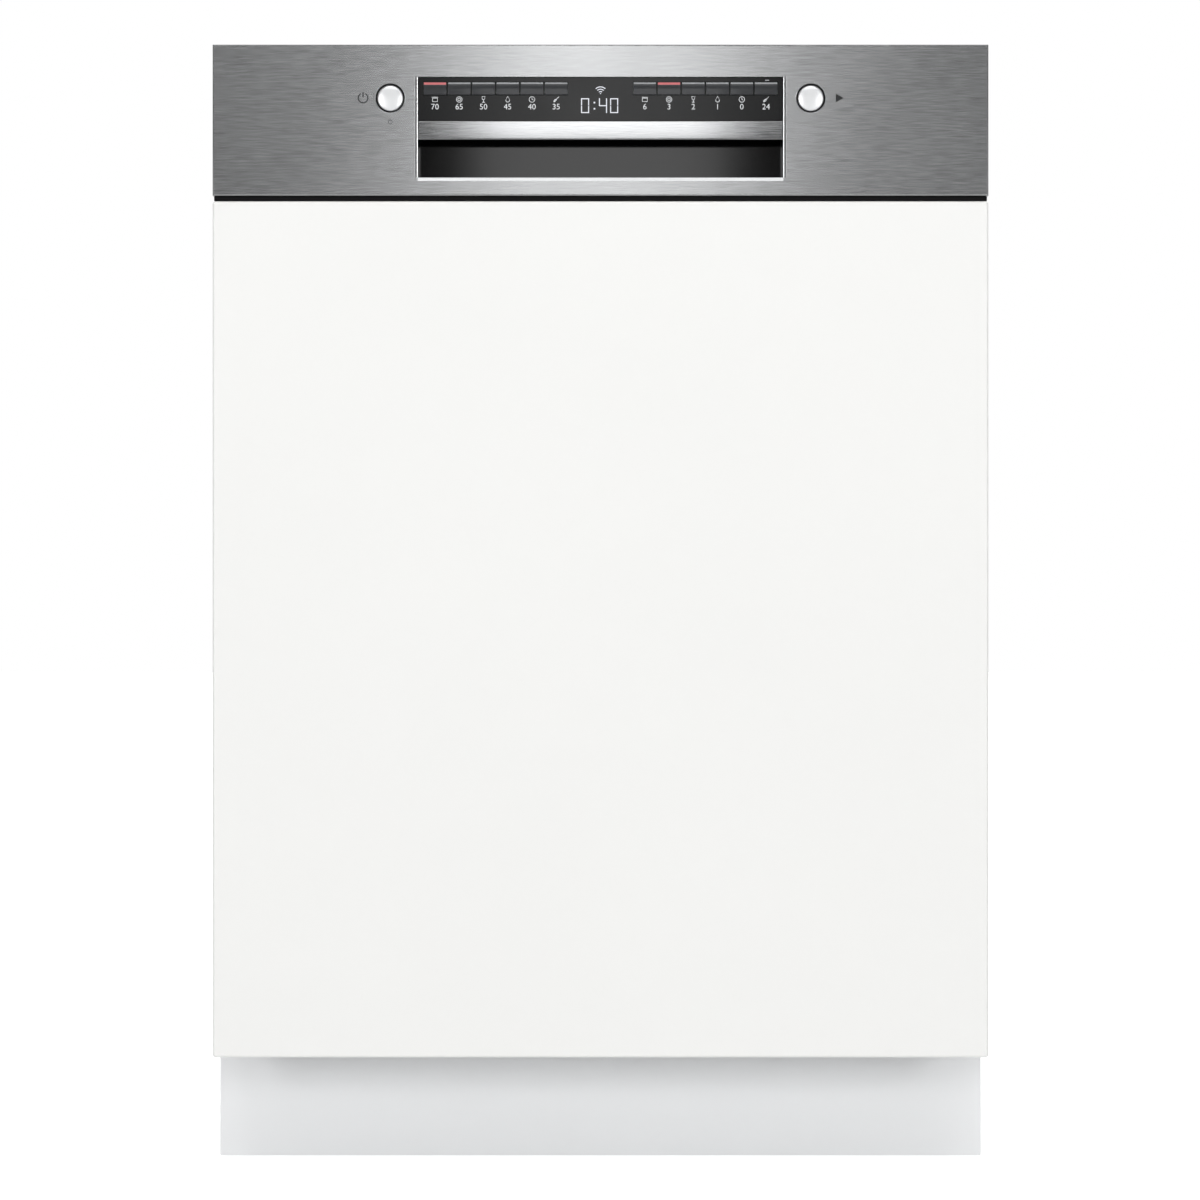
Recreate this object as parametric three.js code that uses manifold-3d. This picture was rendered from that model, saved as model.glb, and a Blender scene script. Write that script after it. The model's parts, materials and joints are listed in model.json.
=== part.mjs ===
// Built-in dishwasher of the tall 865 mm class: steel control fascia on top, white furniture door below.
// Millimetres, +X to the right, +Y to the back, +Z up. The origin is the footprint's middle, on the floor.
import * as THREE from 'three';
import Module from 'manifold-3d';
import { mergeVertices } from 'three/addons/utils/BufferGeometryUtils.js';

// ---- Driving dimensions ----
const WIDTH = 598;
const DEPTH = 573;
const HEIGHT = 865;
const HALF = WIDTH / 2;
const FRONT = -DEPTH / 2;
const BACK = DEPTH / 2;
const GAP = 0.3;

const PIVOT = { y: -222, z: 106, pin: 4, eye: 9 };
const PANEL = { bottom: 84.3, top: 744.3, thick: 19 };
const FASCIA = { bottom: 748.5, sheet: 1.5, depth: 22.5 };
const RECESS = { half: 141.2, bottom: 762.5, top: 840.2 };
const STRIP = { bottom: 791.8, top: 806.4 };
const KEY = { count: 6, pitch: 18.7, width: 17.7, bottom: 826.4, top: 836.1, first: 34.15, fit: 0.35 };
const ROUND_BUTTON = { x: 162.1, z: 823.8, radius: 10.2, hole: 12.25 };
const PLINTH = { front: -196.5, thick: 16, top: 90 };
const TUB = { half: 275, wall: 2, front: -205, back: 262, bottom: 118, top: 838 };
const FLOOR = { bottom: 120, top: 123 };
const HUB = { x: 0, y: 28 };
const FILTER = { x: 100, y: -95 };
const SALT = { x: -110, y: -105 };
const FEET = [[-250, -150], [250, -150], [0, 240]];
const RACK = { half: 250, back: 245, front: -165, wall: 3, runner: 4 };
const SHEET = { side: 1.3, cover: 1.5, top: 863.2, bottom: 20 };
const FLANGE = { half: 292, thick: 2, bottom: 124, top: 861 };
const LINER = { half: 291, bottom: 118, top: 850, front: -231, back: -212, step: 751.5 };
const OUTER = { half: 295, bottom: 92, top: 746, sheet: 1.5 };
const DISPENSER = { half: 90, bottom: 470, top: 580, face: -206, cap: { x: 50, z: 540 } };
const ARM = { reach: 218, middle: 24, tip: 15, hub: 19 };
const WHEEL = { radius: 20, height: 145, places: [45, 215] };
const TINES = { x: -60, y: 40, z: 211, half: 110, count: 7, height: 80 };
const SHELF = { x: 242, y: 40, z: 652, half: 95, depth: 92, slats: 5 };
const WIRE = { frame: 4, fine: 3 };

// ---- Materials ----
function finish(color, roughness, metalness) {
  return new THREE.MeshStandardMaterial({ color, roughness, metalness });
}

const brushedSteel = finish(0xb9bbbc, 0.32, 1);
const stainless = finish(0xc3c5c6, 0.28, 1);
const zincSheet = finish(0xa9adaf, 0.45, 1);
const whiteLacquer = finish(0xf6f6f5, 0.4, 0);
const plinthWhite = finish(0xe8e9eb, 0.5, 0);
const blackPlastic = finish(0x17181a, 0.35, 0);
const glossBlack = finish(0x0c0d0f, 0.12, 0);
const satinSilver = finish(0xd9dadb, 0.3, 0.8);
const greyPlastic = finish(0x8d9196, 0.5, 0);
const paleGrey = finish(0xc9ccce, 0.5, 0);
const rubber = finish(0x2b2c2e, 0.8, 0);
const boardGreen = finish(0x1f5a3c, 0.5, 0);
const coatedWire = finish(0xb4b8bb, 0.4, 0.1);

// ---- Solid helpers ----
const wasm = await Module();
wasm.setup();

function toSolid(geometry) {
  const bare = geometry.clone();
  bare.deleteAttribute('normal');
  bare.deleteAttribute('uv');
  const merged = mergeVertices(bare, 1e-4);
  const vertProperties = new Float32Array(merged.attributes.position.array);
  const triVerts = new Uint32Array(merged.index.array);
  return new wasm.Manifold(new wasm.Mesh({ numProp: 3, vertProperties, triVerts }));
}

function toGeometry(solid) {
  const mesh = solid.getMesh();
  const geometry = new THREE.BufferGeometry();
  geometry.setAttribute('position', new THREE.BufferAttribute(new Float32Array(mesh.vertProperties), 3));
  geometry.setIndex(new THREE.BufferAttribute(new Uint32Array(mesh.triVerts), 1));
  return geometry;
}

const join = (...pieces) => toGeometry(pieces.map(toSolid).reduce((whole, piece) => whole.add(piece)));

function cut(base, ...tools) {
  return toGeometry(tools.map(toSolid).reduce((whole, tool) => whole.subtract(tool), toSolid(base)));
}

// A box given by its span [low, high] along each axis.
function block(x, y, z) {
  const box = new THREE.BoxGeometry(x[1] - x[0], y[1] - y[0], z[1] - z[0]);
  return box.translate((x[0] + x[1]) / 2, (y[0] + y[1]) / 2, (z[0] + z[1]) / 2);
}

// A round rod along one axis; centre holds the other two coordinates in x, y, z order.
function rod(axis, radius, centre, span, sides = 24) {
  const shape = new THREE.CylinderGeometry(radius, radius, span[1] - span[0], sides);
  const middle = (span[0] + span[1]) / 2;
  if (axis === 'x') return shape.rotateZ(-Math.PI / 2).translate(middle, centre[0], centre[1]);
  if (axis === 'y') return shape.translate(centre[0], middle, centre[1]);
  return shape.rotateX(Math.PI / 2).translate(centre[0], centre[1], middle);
}

// A square bar between two points.
function bar(from, to, thick) {
  const start = new THREE.Vector3(...from);
  const reach = new THREE.Vector3(...to).sub(start);
  const length = reach.length() + thick;
  const upright = new THREE.Vector3(0, 0, 1);
  const turn = new THREE.Quaternion().setFromUnitVectors(upright, reach.clone().normalize());
  const centre = start.addScaledVector(reach, 0.5);
  return new THREE.BoxGeometry(thick, thick, length).applyQuaternion(turn).translate(...centre.toArray());
}

const both = (half) => [-half, half];
const mirrorSpan = (side, span) => (side > 0 ? span : [-span[1], -span[0]]);

function spread(low, high, count) {
  const step = (high - low) / (count - 1);
  return Array.from({ length: count }, (_, i) => low + step * i);
}

function add(group, name, geometry, material, place = [0, 0, 0]) {
  const mesh = new THREE.Mesh(geometry, material);
  mesh.name = name;
  mesh.position.set(...place);
  group.add(mesh);
  return mesh;
}

// ---- Chassis ----
function basePan() {
  const wall = 4;
  const half = TUB.half + 1;
  const [front, back, bottom, top] = [-176, 280, 22, TUB.bottom - GAP];
  const sleeves = FEET.map((at) => rod('z', 12, at, [bottom + 1, bottom + 62]));
  const stemHoles = FEET.map((at) => rod('z', 7.6, at, [bottom - 1, bottom + 70]));
  const tray = cut(
    block(both(half), [front, back], [bottom, top]),
    block(both(half - wall), [front + wall, back - wall], [bottom + wall, top + 1]),
  );
  return cut(join(tray, ...sleeves), ...stemHoles);
}

function foot() {
  return join(rod('z', 22, [0, 0], [0, 10]), rod('z', 7, [0, 0], [9, 80], 16));
}

function tubWrap() {
  const inside = TUB.half - TUB.wall;
  const sleeve = cut(
    block(both(TUB.half), [TUB.front, TUB.back], [TUB.bottom, TUB.top]),
    block(both(inside), [TUB.front - 1, TUB.back + 1], [TUB.bottom - 1, TUB.top - TUB.wall]),
  );
  const flange = cut(
    block(both(FLANGE.half), [TUB.front - FLANGE.thick, TUB.front + 0.1], [FLANGE.bottom, FLANGE.top]),
    block(both(TUB.half - 1), [TUB.front - 3, TUB.front + 1], [100, TUB.top - 1]),
  );
  const ledges = [-1, 1].map((side) => block(mirrorSpan(side, [263, inside + 0.5]), [-190, 250], [764, 768]));
  return join(sleeve, flange, ...ledges);
}

// The side sheet is notched at the front, where the plinth board passes.
function sidePanel(side) {
  const front = -200;
  const notch = block(
    mirrorSpan(side, [HALF - 2, HALF + 1]),
    [front - 1, PLINTH.front + PLINTH.thick + 1],
    [SHEET.bottom - 1, PLINTH.top + 1],
  );
  const thick = mirrorSpan(side, [HALF - SHEET.side, HALF]);
  return cut(block(thick, [front, BACK - GAP], [SHEET.bottom, SHEET.top]), notch);
}

function tubFloor() {
  const half = TUB.half - TUB.wall - GAP;
  const plate = block(both(half), [TUB.front, TUB.back - GAP], [FLOOR.bottom, FLOOR.top]);
  const holed = cut(
    plate,
    rod('z', 62, [FILTER.x, FILTER.y], [110, 130], 32),
    rod('z', 38, [SALT.x, SALT.y], [110, 130], 28),
  );
  return join(holed, rod('z', 15, [HUB.x, HUB.y], [FLOOR.top - 1, 149]));
}

function doorSeal() {
  const [near, far] = [TUB.front - 6.7, TUB.front - 2 - GAP];
  return cut(
    block(both(289), [near, far], [124, 849]),
    block(both(279), [near - 1, far + 1], [100, 840]),
  );
}

function sump() {
  const at = [FILTER.x, FILTER.y];
  return cut(rod('z', 66, at, [45, 119.7], 32), rod('z', 61, at, [50, 121], 32));
}

function waterSoftener() {
  const tank = block([-190, -40], [-168, -45], [27, 95]);
  const neck = rod('z', 37, [SALT.x, SALT.y], [94, 119.7]);
  return cut(join(tank, neck), rod('z', 30, [SALT.x, SALT.y], [60, 121]));
}

function circulationPump() {
  const body = rod('x', 40, [100, 70], [-60, 50]);
  const outlet = rod('z', 13, [30, 100], [100, 119.7], 16);
  const motor = rod('x', 30, [100, 70], [49, 120]);
  return join(body, outlet, motor);
}

function waterConnections() {
  const valve = block([-240, -130], [280 + GAP, 283], [40, 90]);
  const inlet = rod('y', 13, [-215, 65], [282, BACK], 16);
  const drain = rod('y', 9, [-160, 65], [282, BACK], 16);
  return join(valve, inlet, drain);
}

function hingeBracket(side) {
  const plate = mirrorSpan(side, [288, 291]);
  const centre = [PIVOT.y, PIVOT.z];
  return join(
    rod('x', PIVOT.eye, centre, plate),
    block(plate, [PIVOT.y, -150], [97, 115]),
    block(plate, [-176, -120], [40, 115]),
    block(mirrorSpan(side, [276 + GAP, 289]), [-165, -135], [50, 90]),
    rod('x', PIVOT.pin, centre, mirrorSpan(side, [282, 289]), 16),
  );
}

function lockStrike() {
  const base = block(both(20), [-209.3, TUB.front - 2 - GAP], [850.5, 860.5]);
  return join(base, block(both(6), [-229, -208], [852.5, 858]));
}

function upperRail(side) {
  return cut(
    block(mirrorSpan(side, [262.4, TUB.half - TUB.wall - GAP]), [-195, 250], [574, 598]),
    block(mirrorSpan(side, [261, 269]), [-196, 251], [581, 591]),
  );
}

function filterCylinder() {
  return join(
    rod('z', 44, [0, 0], [62, 122]),
    rod('z', 58, [0, 0], [121, 126], 32),
    block([-28, 28], [-5, 5], [125, 140]),
  );
}

function saltCap() {
  return join(
    rod('z', 29, [0, 0], [106, 121]),
    rod('z', 36, [0, 0], [120, 133], 28),
    block([-28, 28], [-5, 5], [132, 141]),
  );
}

// A two-bladed spray arm: a long hull with rounded tips, and a hub that sits on its bearing.
function sprayArm(low, high, hubLow, hubHigh) {
  const { reach, middle, tip, hub } = ARM;
  const outline = new THREE.Shape();
  outline.moveTo(0, -middle);
  outline.lineTo(reach - tip, -tip);
  outline.absarc(reach - tip, 0, tip, -Math.PI / 2, Math.PI / 2, false);
  outline.lineTo(0, middle);
  outline.lineTo(tip - reach, tip);
  outline.absarc(tip - reach, 0, tip, Math.PI / 2, Math.PI * 1.5, false);
  const depth = high - low;
  const blade = new THREE.ExtrudeGeometry(outline, { depth, bevelEnabled: false, curveSegments: 8 });
  return join(blade.translate(0, 0, low), rod('z', hub, [0, 0], [hubLow, hubHigh]));
}

// ---- Door ----
function doorOuterSheet() {
  const { half, bottom, top, sheet } = OUTER;
  const [near, far] = [FRONT + PANEL.thick + GAP, PIVOT.y - 10];
  return cut(
    block(both(half), [near, far], [bottom, top]),
    block(both(half - sheet), [near + sheet, far + 1], [bottom + sheet, top - sheet]),
  );
}

function doorLiner() {
  const { half, bottom, top, front, back, step } = LINER;
  return cut(
    block(both(half), [front, back], [bottom, top]),
    block(both(half - 1.5), [front - 1, back - 2], [bottom - 8, top - 1.5]),
    block(both(half + 4), [front - 9, back - 3.7], [step, top + 1]),
    block(both(DISPENSER.half), [front - 1, back + 1], [DISPENSER.bottom, DISPENSER.top]),
  );
}

function dispenserBody() {
  const { half, bottom, top, face, cap } = DISPENSER;
  return cut(
    block(both(half - GAP), [face - 24, face], [bottom + GAP, top - GAP]),
    block([-72, 2], [face - 18, face + 1], [492, 560]),
    rod('y', 12, [cap.x, cap.z], [face - 16, face + 1]),
  );
}

function dispenserLid() {
  return join(block([-76, 6], [-205.6, -203.4], [486, 565]), block([-60, -10], [-204, -200.5], [494, 499]));
}

function rinseAidCap() {
  return join(
    rod('y', 16, [0, 0], [-205.6, -203]),
    rod('y', 11, [0, 0], [-216, -205], 20),
    block(both(13), [-204, -199.5], both(2.5)),
  );
}

function fascia() {
  const { sheet, bottom, depth } = FASCIA;
  const buttonHoles = [-1, 1].map((side) => {
    const centre = [side * ROUND_BUTTON.x, ROUND_BUTTON.z];
    return rod('y', ROUND_BUTTON.hole, centre, [FRONT - 1, FRONT + 5], 32);
  });
  return cut(
    block(both(HALF), [FRONT, FRONT + depth], [bottom, HEIGHT]),
    block(both(HALF - sheet), [FRONT + sheet, FRONT + depth + 1], [bottom + sheet, HEIGHT - sheet]),
    block(both(RECESS.half), [FRONT - 1, FRONT + 5], [RECESS.bottom, RECESS.top]),
    ...buttonHoles,
  );
}

function controlHousing() {
  return cut(
    block(both(295), [-263, -216], [752, 861.5]),
    block(both(292.5), [-264, -218.5], [754.5, 859]),
    block(both(14), [-220, -215], [848.5, 862]),
  );
}

function gripShell() {
  return cut(
    block(both(RECESS.half + 2), [FRONT + 1.8, -243], [RECESS.bottom - 1.9, STRIP.top - 0.1]),
    block(both(RECESS.half), [FRONT, -245], [RECESS.bottom, STRIP.top - 2.1]),
    block(both(RECESS.half), [FRONT, FRONT + 7.8], [STRIP.bottom - 1, STRIP.top + 1]),
  );
}

const keyCentres = [-1, 1].flatMap((side) => {
  const offsets = Array.from({ length: KEY.count }, (_, i) => side * (KEY.first + i * KEY.pitch));
  return offsets.sort((a, b) => a - b);
});

function displayPanel() {
  const keyHoles = keyCentres.map((x) => block(
    [x - KEY.width / 2 - KEY.fit, x + KEY.width / 2 + KEY.fit],
    [FRONT, FRONT + 10],
    [KEY.bottom - KEY.fit, KEY.top + KEY.fit],
  ));
  const heights = [STRIP.top + 0.2, RECESS.top - 0.2];
  const plate = block(both(RECESS.half - 0.2), [FRONT + 2.5, FRONT + 7.5], heights);
  return cut(plate, ...keyHoles);
}

function doorLock() {
  return cut(block(both(28), [-252, -219], [825, 858.5]), block(both(9), [-232, -218], [848, 860]));
}

function hingeArm(side) {
  const plate = mirrorSpan(side, [284, 287]);
  const centre = [PIVOT.y, PIVOT.z];
  const blade = block(plate, [PIVOT.y - 9, PIVOT.y + 7], [PIVOT.z, 360]);
  const arm = join(rod('x', PIVOT.eye, centre, plate), blade);
  return cut(arm, rod('x', PIVOT.pin + 0.4, centre, mirrorSpan(side, [283, 288]), 16));
}

// ---- Racks ----
// A basket: an open-topped box with the outer shape of the wire rack.
function basket({ front, back, floor, rim }) {
  const edge = 2;
  const inner = edge - RACK.wall;
  return cut(
    block(both(RACK.half + edge), [front - edge, back + edge], [floor - edge, rim + edge]),
    block(both(RACK.half + inner), [front - inner, back + inner], [floor - inner, rim + 3]),
  );
}

function upperRack() {
  const floor = 548;
  const tray = basket({ front: RACK.front, back: RACK.back, floor, rim: 690 });
  const runners = [-1, 1].map((side) => block(
    mirrorSpan(side, [RACK.half + 1, 268.6]),
    [RACK.front + RACK.runner, RACK.back - RACK.runner],
    [581.5, 590.5],
  ));
  const pipe = block(both(10), [HUB.y - 12, 250], [533, floor - 1]);
  return join(tray, ...runners, pipe, rod('z', 10, [HUB.x, HUB.y], [528, 534], 16));
}

function lowerRack() {
  const wheels = [-1, 1].flatMap((side) => WHEEL.places.flatMap((y) => [
    rod('x', WHEEL.radius, [y, WHEEL.height], mirrorSpan(side, [255, 264]), 16),
    block(mirrorSpan(side, [RACK.half - 1, 256]), [y - 8, y + 8], [WHEEL.height - 5, 204]),
  ]));
  return join(basket({ front: -150, back: RACK.back, floor: 200, rim: 330 }), ...wheels);
}

function cutleryDrawer() {
  const runners = [-1, 1].map((side) => block(
    mirrorSpan(side, [RACK.half + 1, 270]),
    [RACK.front + RACK.runner, RACK.back - RACK.runner],
    [769, 776.8],
  ));
  return join(basket({ front: RACK.front, back: RACK.back, floor: 760, rim: 798 }), ...runners);
}

function foldingTines() {
  const { half, count, height } = TINES;
  const tines = spread(10 - half, half - 10, count).map((y) => bar([0, y, 0], [0, y, height], WIRE.fine));
  return join(bar([0, -half, 0], [0, half, 0], WIRE.frame), ...tines);
}

function cupShelf() {
  const { half, depth, slats: count } = SHELF;
  const slats = spread(-half, half, count).map((y) => bar([0, y, 0], [-depth, y, 0], WIRE.fine));
  const rails = [0, -depth / 2, -depth].map((x) => bar([x, -half, 0], [x, half, 0], WIRE.frame));
  return join(...slats, ...rails);
}

// ---- Assembly ----
const dishwasher = new THREE.Group();
dishwasher.name = 'dishwasher';
const chassis = new THREE.Group();
const door = new THREE.Group();
const racks = new THREE.Group();
dishwasher.add(chassis, door, racks);

const plinthBoard = block(both(HALF), [PLINTH.front, PLINTH.front + PLINTH.thick], [0, PLINTH.top]);
const tubRearWall = block(both(TUB.half), [TUB.back + GAP, TUB.back + 2.3], [TUB.bottom, TUB.top]);
const topCover = block(both(HALF), [-204, BACK], [HEIGHT - SHEET.cover, HEIGHT]);
const rearPanel = block(both(HALF - 1.6), [BACK - SHEET.cover, BACK], [100, SHEET.top]);
add(chassis, 'plinth', plinthBoard, plinthWhite);
add(chassis, 'base_pan', basePan(), blackPlastic);
add(chassis, 'tub_wrap', tubWrap(), stainless);
add(chassis, 'tub_rear_wall', tubRearWall, stainless);
add(chassis, 'tub_floor', tubFloor(), stainless);
add(chassis, 'door_seal', doorSeal(), rubber);
add(chassis, 'side_panel_left', sidePanel(-1), zincSheet);
add(chassis, 'side_panel_right', sidePanel(1), zincSheet);
add(chassis, 'top_cover', topCover, zincSheet);
add(chassis, 'rear_panel', rearPanel, zincSheet);
add(chassis, 'sump', sump(), greyPlastic);
add(chassis, 'circulation_pump', circulationPump(), greyPlastic);
add(chassis, 'water_softener', waterSoftener(), paleGrey);
add(chassis, 'water_connections', waterConnections(), blackPlastic);
add(chassis, 'hinge_bracket_left', hingeBracket(-1), zincSheet);
add(chassis, 'hinge_bracket_right', hingeBracket(1), zincSheet);
add(chassis, 'lock_strike', lockStrike(), stainless);
add(chassis, 'upper_rail_left', upperRail(-1), stainless);
add(chassis, 'upper_rail_right', upperRail(1), stainless);
['foot_front_left', 'foot_front_right', 'foot_rear'].forEach((name, i) => {
  add(chassis, name, foot(), greyPlastic, [...FEET[i], 0]);
});
add(chassis, 'lower_spray_arm', sprayArm(152, 163, 149.4, 168), greyPlastic, [HUB.x, HUB.y, 0]);
add(chassis, 'filter_cylinder', filterCylinder(), greyPlastic, [FILTER.x, FILTER.y, 0]);
add(chassis, 'salt_cap', saltCap(), paleGrey, [SALT.x, SALT.y, 0]);

const doorBoard = block(both(HALF), [FRONT, FRONT + PANEL.thick], [PANEL.bottom, PANEL.top]);
const handleStrip = block(
  both(RECESS.half - 0.2),
  [FRONT + 2.3, FRONT + 7.3],
  [STRIP.bottom + 0.1, STRIP.top - 0.2],
);
add(door, 'furniture_panel', doorBoard, whiteLacquer);
add(door, 'door_outer_sheet', doorOuterSheet(), zincSheet);
add(door, 'door_liner', doorLiner(), stainless);
add(door, 'dispenser_body', dispenserBody(), paleGrey);
add(door, 'dispenser_lid', dispenserLid(), greyPlastic);
add(door, 'rinse_aid_cap', rinseAidCap(), greyPlastic, [DISPENSER.cap.x, 0, DISPENSER.cap.z]);
add(door, 'fascia', fascia(), brushedSteel);
add(door, 'control_housing', controlHousing(), blackPlastic);
add(door, 'grip_shell', gripShell(), glossBlack);
add(door, 'display_panel', displayPanel(), glossBlack);
add(door, 'handle_strip', handleStrip, satinSilver);
add(door, 'control_board', block(both(190), [-272, -270.4], [812, 846]), boardGreen);
add(door, 'door_lock', doorLock(), blackPlastic);
add(door, 'hinge_arm_left', hingeArm(-1), zincSheet);
add(door, 'hinge_arm_right', hingeArm(1), zincSheet);
keyCentres.forEach((x, i) => {
  const key = block(both(KEY.width / 2), [FRONT + 1.3, FRONT + 9.5], [KEY.bottom, KEY.top]);
  add(door, `key_${String(i + 1).padStart(2, '0')}`, key, blackPlastic, [x, 0, 0]);
});
[['power_button', -1], ['start_button', 1]].forEach(([name, side]) => {
  const cap = rod('y', ROUND_BUTTON.radius, [0, 0], [FRONT + 0.2, FRONT + 10], 32);
  add(door, name, cap, satinSilver, [side * ROUND_BUTTON.x, 0, ROUND_BUTTON.z]);
});

add(racks, 'upper_rack', upperRack(), coatedWire);
add(racks, 'upper_spray_arm', sprayArm(514, 525, 511, 527.6), greyPlastic, [HUB.x, HUB.y, 0]);
add(racks, 'cup_shelf', cupShelf(), coatedWire, [SHELF.x, SHELF.y, SHELF.z]);
add(racks, 'lower_rack', lowerRack(), coatedWire);
add(racks, 'folding_tines', foldingTines(), coatedWire, [TINES.x, TINES.y, TINES.z]);
add(racks, 'cutlery_drawer', cutleryDrawer(), coatedWire);

export default dishwasher;
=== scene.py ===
"""Looks of a built-in dishwasher, laid out as an add-on: steel fascia, white board, steel tub."""

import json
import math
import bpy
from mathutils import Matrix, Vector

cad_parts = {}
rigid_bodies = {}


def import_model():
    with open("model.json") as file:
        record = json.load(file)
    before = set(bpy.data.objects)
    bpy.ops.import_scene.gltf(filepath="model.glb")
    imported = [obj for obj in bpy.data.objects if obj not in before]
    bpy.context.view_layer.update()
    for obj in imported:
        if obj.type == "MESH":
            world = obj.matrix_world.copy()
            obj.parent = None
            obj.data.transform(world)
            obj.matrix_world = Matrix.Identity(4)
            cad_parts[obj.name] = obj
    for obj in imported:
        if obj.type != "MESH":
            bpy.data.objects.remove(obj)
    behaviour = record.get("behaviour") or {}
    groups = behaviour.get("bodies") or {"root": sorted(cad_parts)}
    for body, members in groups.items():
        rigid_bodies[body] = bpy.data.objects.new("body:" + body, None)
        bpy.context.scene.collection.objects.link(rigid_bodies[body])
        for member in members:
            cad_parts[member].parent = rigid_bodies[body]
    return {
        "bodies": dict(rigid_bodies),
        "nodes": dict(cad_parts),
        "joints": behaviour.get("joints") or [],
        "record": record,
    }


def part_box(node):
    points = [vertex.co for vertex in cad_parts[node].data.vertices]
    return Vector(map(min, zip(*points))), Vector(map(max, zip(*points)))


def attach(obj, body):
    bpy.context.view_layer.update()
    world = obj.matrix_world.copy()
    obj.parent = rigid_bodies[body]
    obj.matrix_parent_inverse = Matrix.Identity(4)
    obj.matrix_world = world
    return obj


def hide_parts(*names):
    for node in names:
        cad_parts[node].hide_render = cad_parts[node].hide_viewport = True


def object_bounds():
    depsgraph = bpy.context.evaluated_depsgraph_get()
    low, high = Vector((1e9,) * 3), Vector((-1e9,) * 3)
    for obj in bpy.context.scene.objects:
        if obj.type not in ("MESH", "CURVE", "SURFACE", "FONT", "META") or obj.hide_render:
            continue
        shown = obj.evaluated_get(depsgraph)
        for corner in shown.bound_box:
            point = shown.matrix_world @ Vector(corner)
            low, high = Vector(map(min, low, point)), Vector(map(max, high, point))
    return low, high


bl_info = {
    "name": "Built-in Dishwasher",
    "version": (1, 0, 0),
    "blender": (4, 5, 0),
    "location": "3D View > Sidebar > Dishwasher",
    "description": "Builds the pieces and finishes of a semi-integrated dishwasher round its frame",
    "category": "Add Mesh",
}

import bmesh
import bpy
from bpy.props import FloatProperty, FloatVectorProperty, PointerProperty
from mathutils import Matrix, Vector

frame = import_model()
CAD_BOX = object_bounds()

MM = 0.001
AXIS_TURN = {
    "x": Matrix.Rotation(math.radians(90), 3, "Y"),
    "y": Matrix.Rotation(math.radians(-90), 3, "X"),
    "z": Matrix.Identity(3),
}


# ---------------------------------------------------------------- measures and colours


def limits(node):
    """Lowest and highest corner of a frame node, in millimetres."""
    low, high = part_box(node)
    return low / MM, high / MM


def linear(hex_colour):
    """An sRGB hex colour as linear red, green, blue and alpha."""
    channels = [((hex_colour >> shift) & 0xFF) / 255 for shift in (16, 8, 0)]
    return tuple(
        c / 12.92 if c <= 0.04045 else ((c + 0.055) / 1.055) ** 2.4 for c in channels
    ) + (1.0,)


def colour_property(name, description, hex_colour):
    """A colour setting whose default is an sRGB hex value."""
    return FloatVectorProperty(
        name=name, description=description, subtype="COLOR", size=4,
        min=0.0, max=1.0, default=linear(hex_colour),
    )


# ---------------------------------------------------------------- shapes, in millimetres


def add_slab(bm, low, high, bevel=0.0, segments=2):
    """Adds a box between two corners, with rounded edges if bevel is given."""
    low, high = Vector(low), Vector(high)
    made = bmesh.ops.create_cube(bm, size=1.0)["verts"]
    bmesh.ops.scale(bm, vec=high - low, verts=made)
    bmesh.ops.translate(bm, vec=(low + high) / 2, verts=made)
    if bevel:
        edges = list({edge for vert in made for edge in vert.link_edges})
        round_edges(bm, edges, bevel, segments)


def round_edges(bm, edges, width, segments=2):
    """Rounds the given edges."""
    bmesh.ops.bevel(
        bm, geom=edges, offset=width, offset_type="OFFSET", affect="EDGES", segments=segments,
        profile=0.5, material=-1, clamp_overlap=True,
    )


def round_sharp(bm, width, segments=2, angle=40, keep=None):
    """Rounds every edge sharper than an angle, where keep(edge) allows it."""
    bm.normal_update()
    edges = [
        edge for edge in bm.edges
        if len(edge.link_faces) == 2 and edge.calc_face_angle(0.0) > math.radians(angle)
        and (keep is None or keep(edge))
    ]
    round_edges(bm, edges, width, segments)


def add_drum(bm, axis, centre, radius, low, high, sides=48, bevel=0.0, end_radius=None, segments=3):
    """Adds a round bar along an axis; centre holds the other two coordinates in x, y, z order."""
    made = bmesh.ops.create_cone(
        bm, cap_ends=True, segments=sides, radius1=radius,
        radius2=radius if end_radius is None else end_radius, depth=high - low,
    )["verts"]
    lay_along(bm, made, axis, centre, (low + high) / 2)
    if bevel:
        rim = [e for e in {e for v in made for e in v.link_edges} if len(e.link_faces) == 2]
        rim = [e for e in rim if e.calc_face_angle(0.0) > math.radians(50)]
        round_edges(bm, rim, bevel, segments)


def lay_along(bm, verts, axis, centre, along):
    """Turns verts made along +Z to lie along an axis, and moves them to their place."""
    bmesh.ops.rotate(bm, cent=(0, 0, 0), matrix=AXIS_TURN[axis], verts=verts)
    place = {"x": (along, *centre), "y": (centre[0], along, centre[1]), "z": (*centre, along)}[axis]
    bmesh.ops.translate(bm, vec=place, verts=verts)


def add_turned(bm, axis, centre, profile, steps=64):
    """Spins a profile of (radius, height) points once round an axis."""
    points = [bm.verts.new((radius, 0, height)) for radius, height in profile]
    edges = [bm.edges.new(pair) for pair in zip(points, points[1:])]
    known = set(bm.verts) - set(points)
    bmesh.ops.spin(
        bm, geom=points + edges, cent=(0, 0, 0), axis=(0, 0, 1), angle=math.tau,
        steps=steps, use_merge=True, use_duplicate=False,
    )
    made = [vert for vert in bm.verts if vert not in known]
    bmesh.ops.remove_doubles(bm, verts=made, dist=0.001)
    made = [vert for vert in bm.verts if vert not in known]
    lay_along(bm, made, axis, centre, 0.0)


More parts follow.
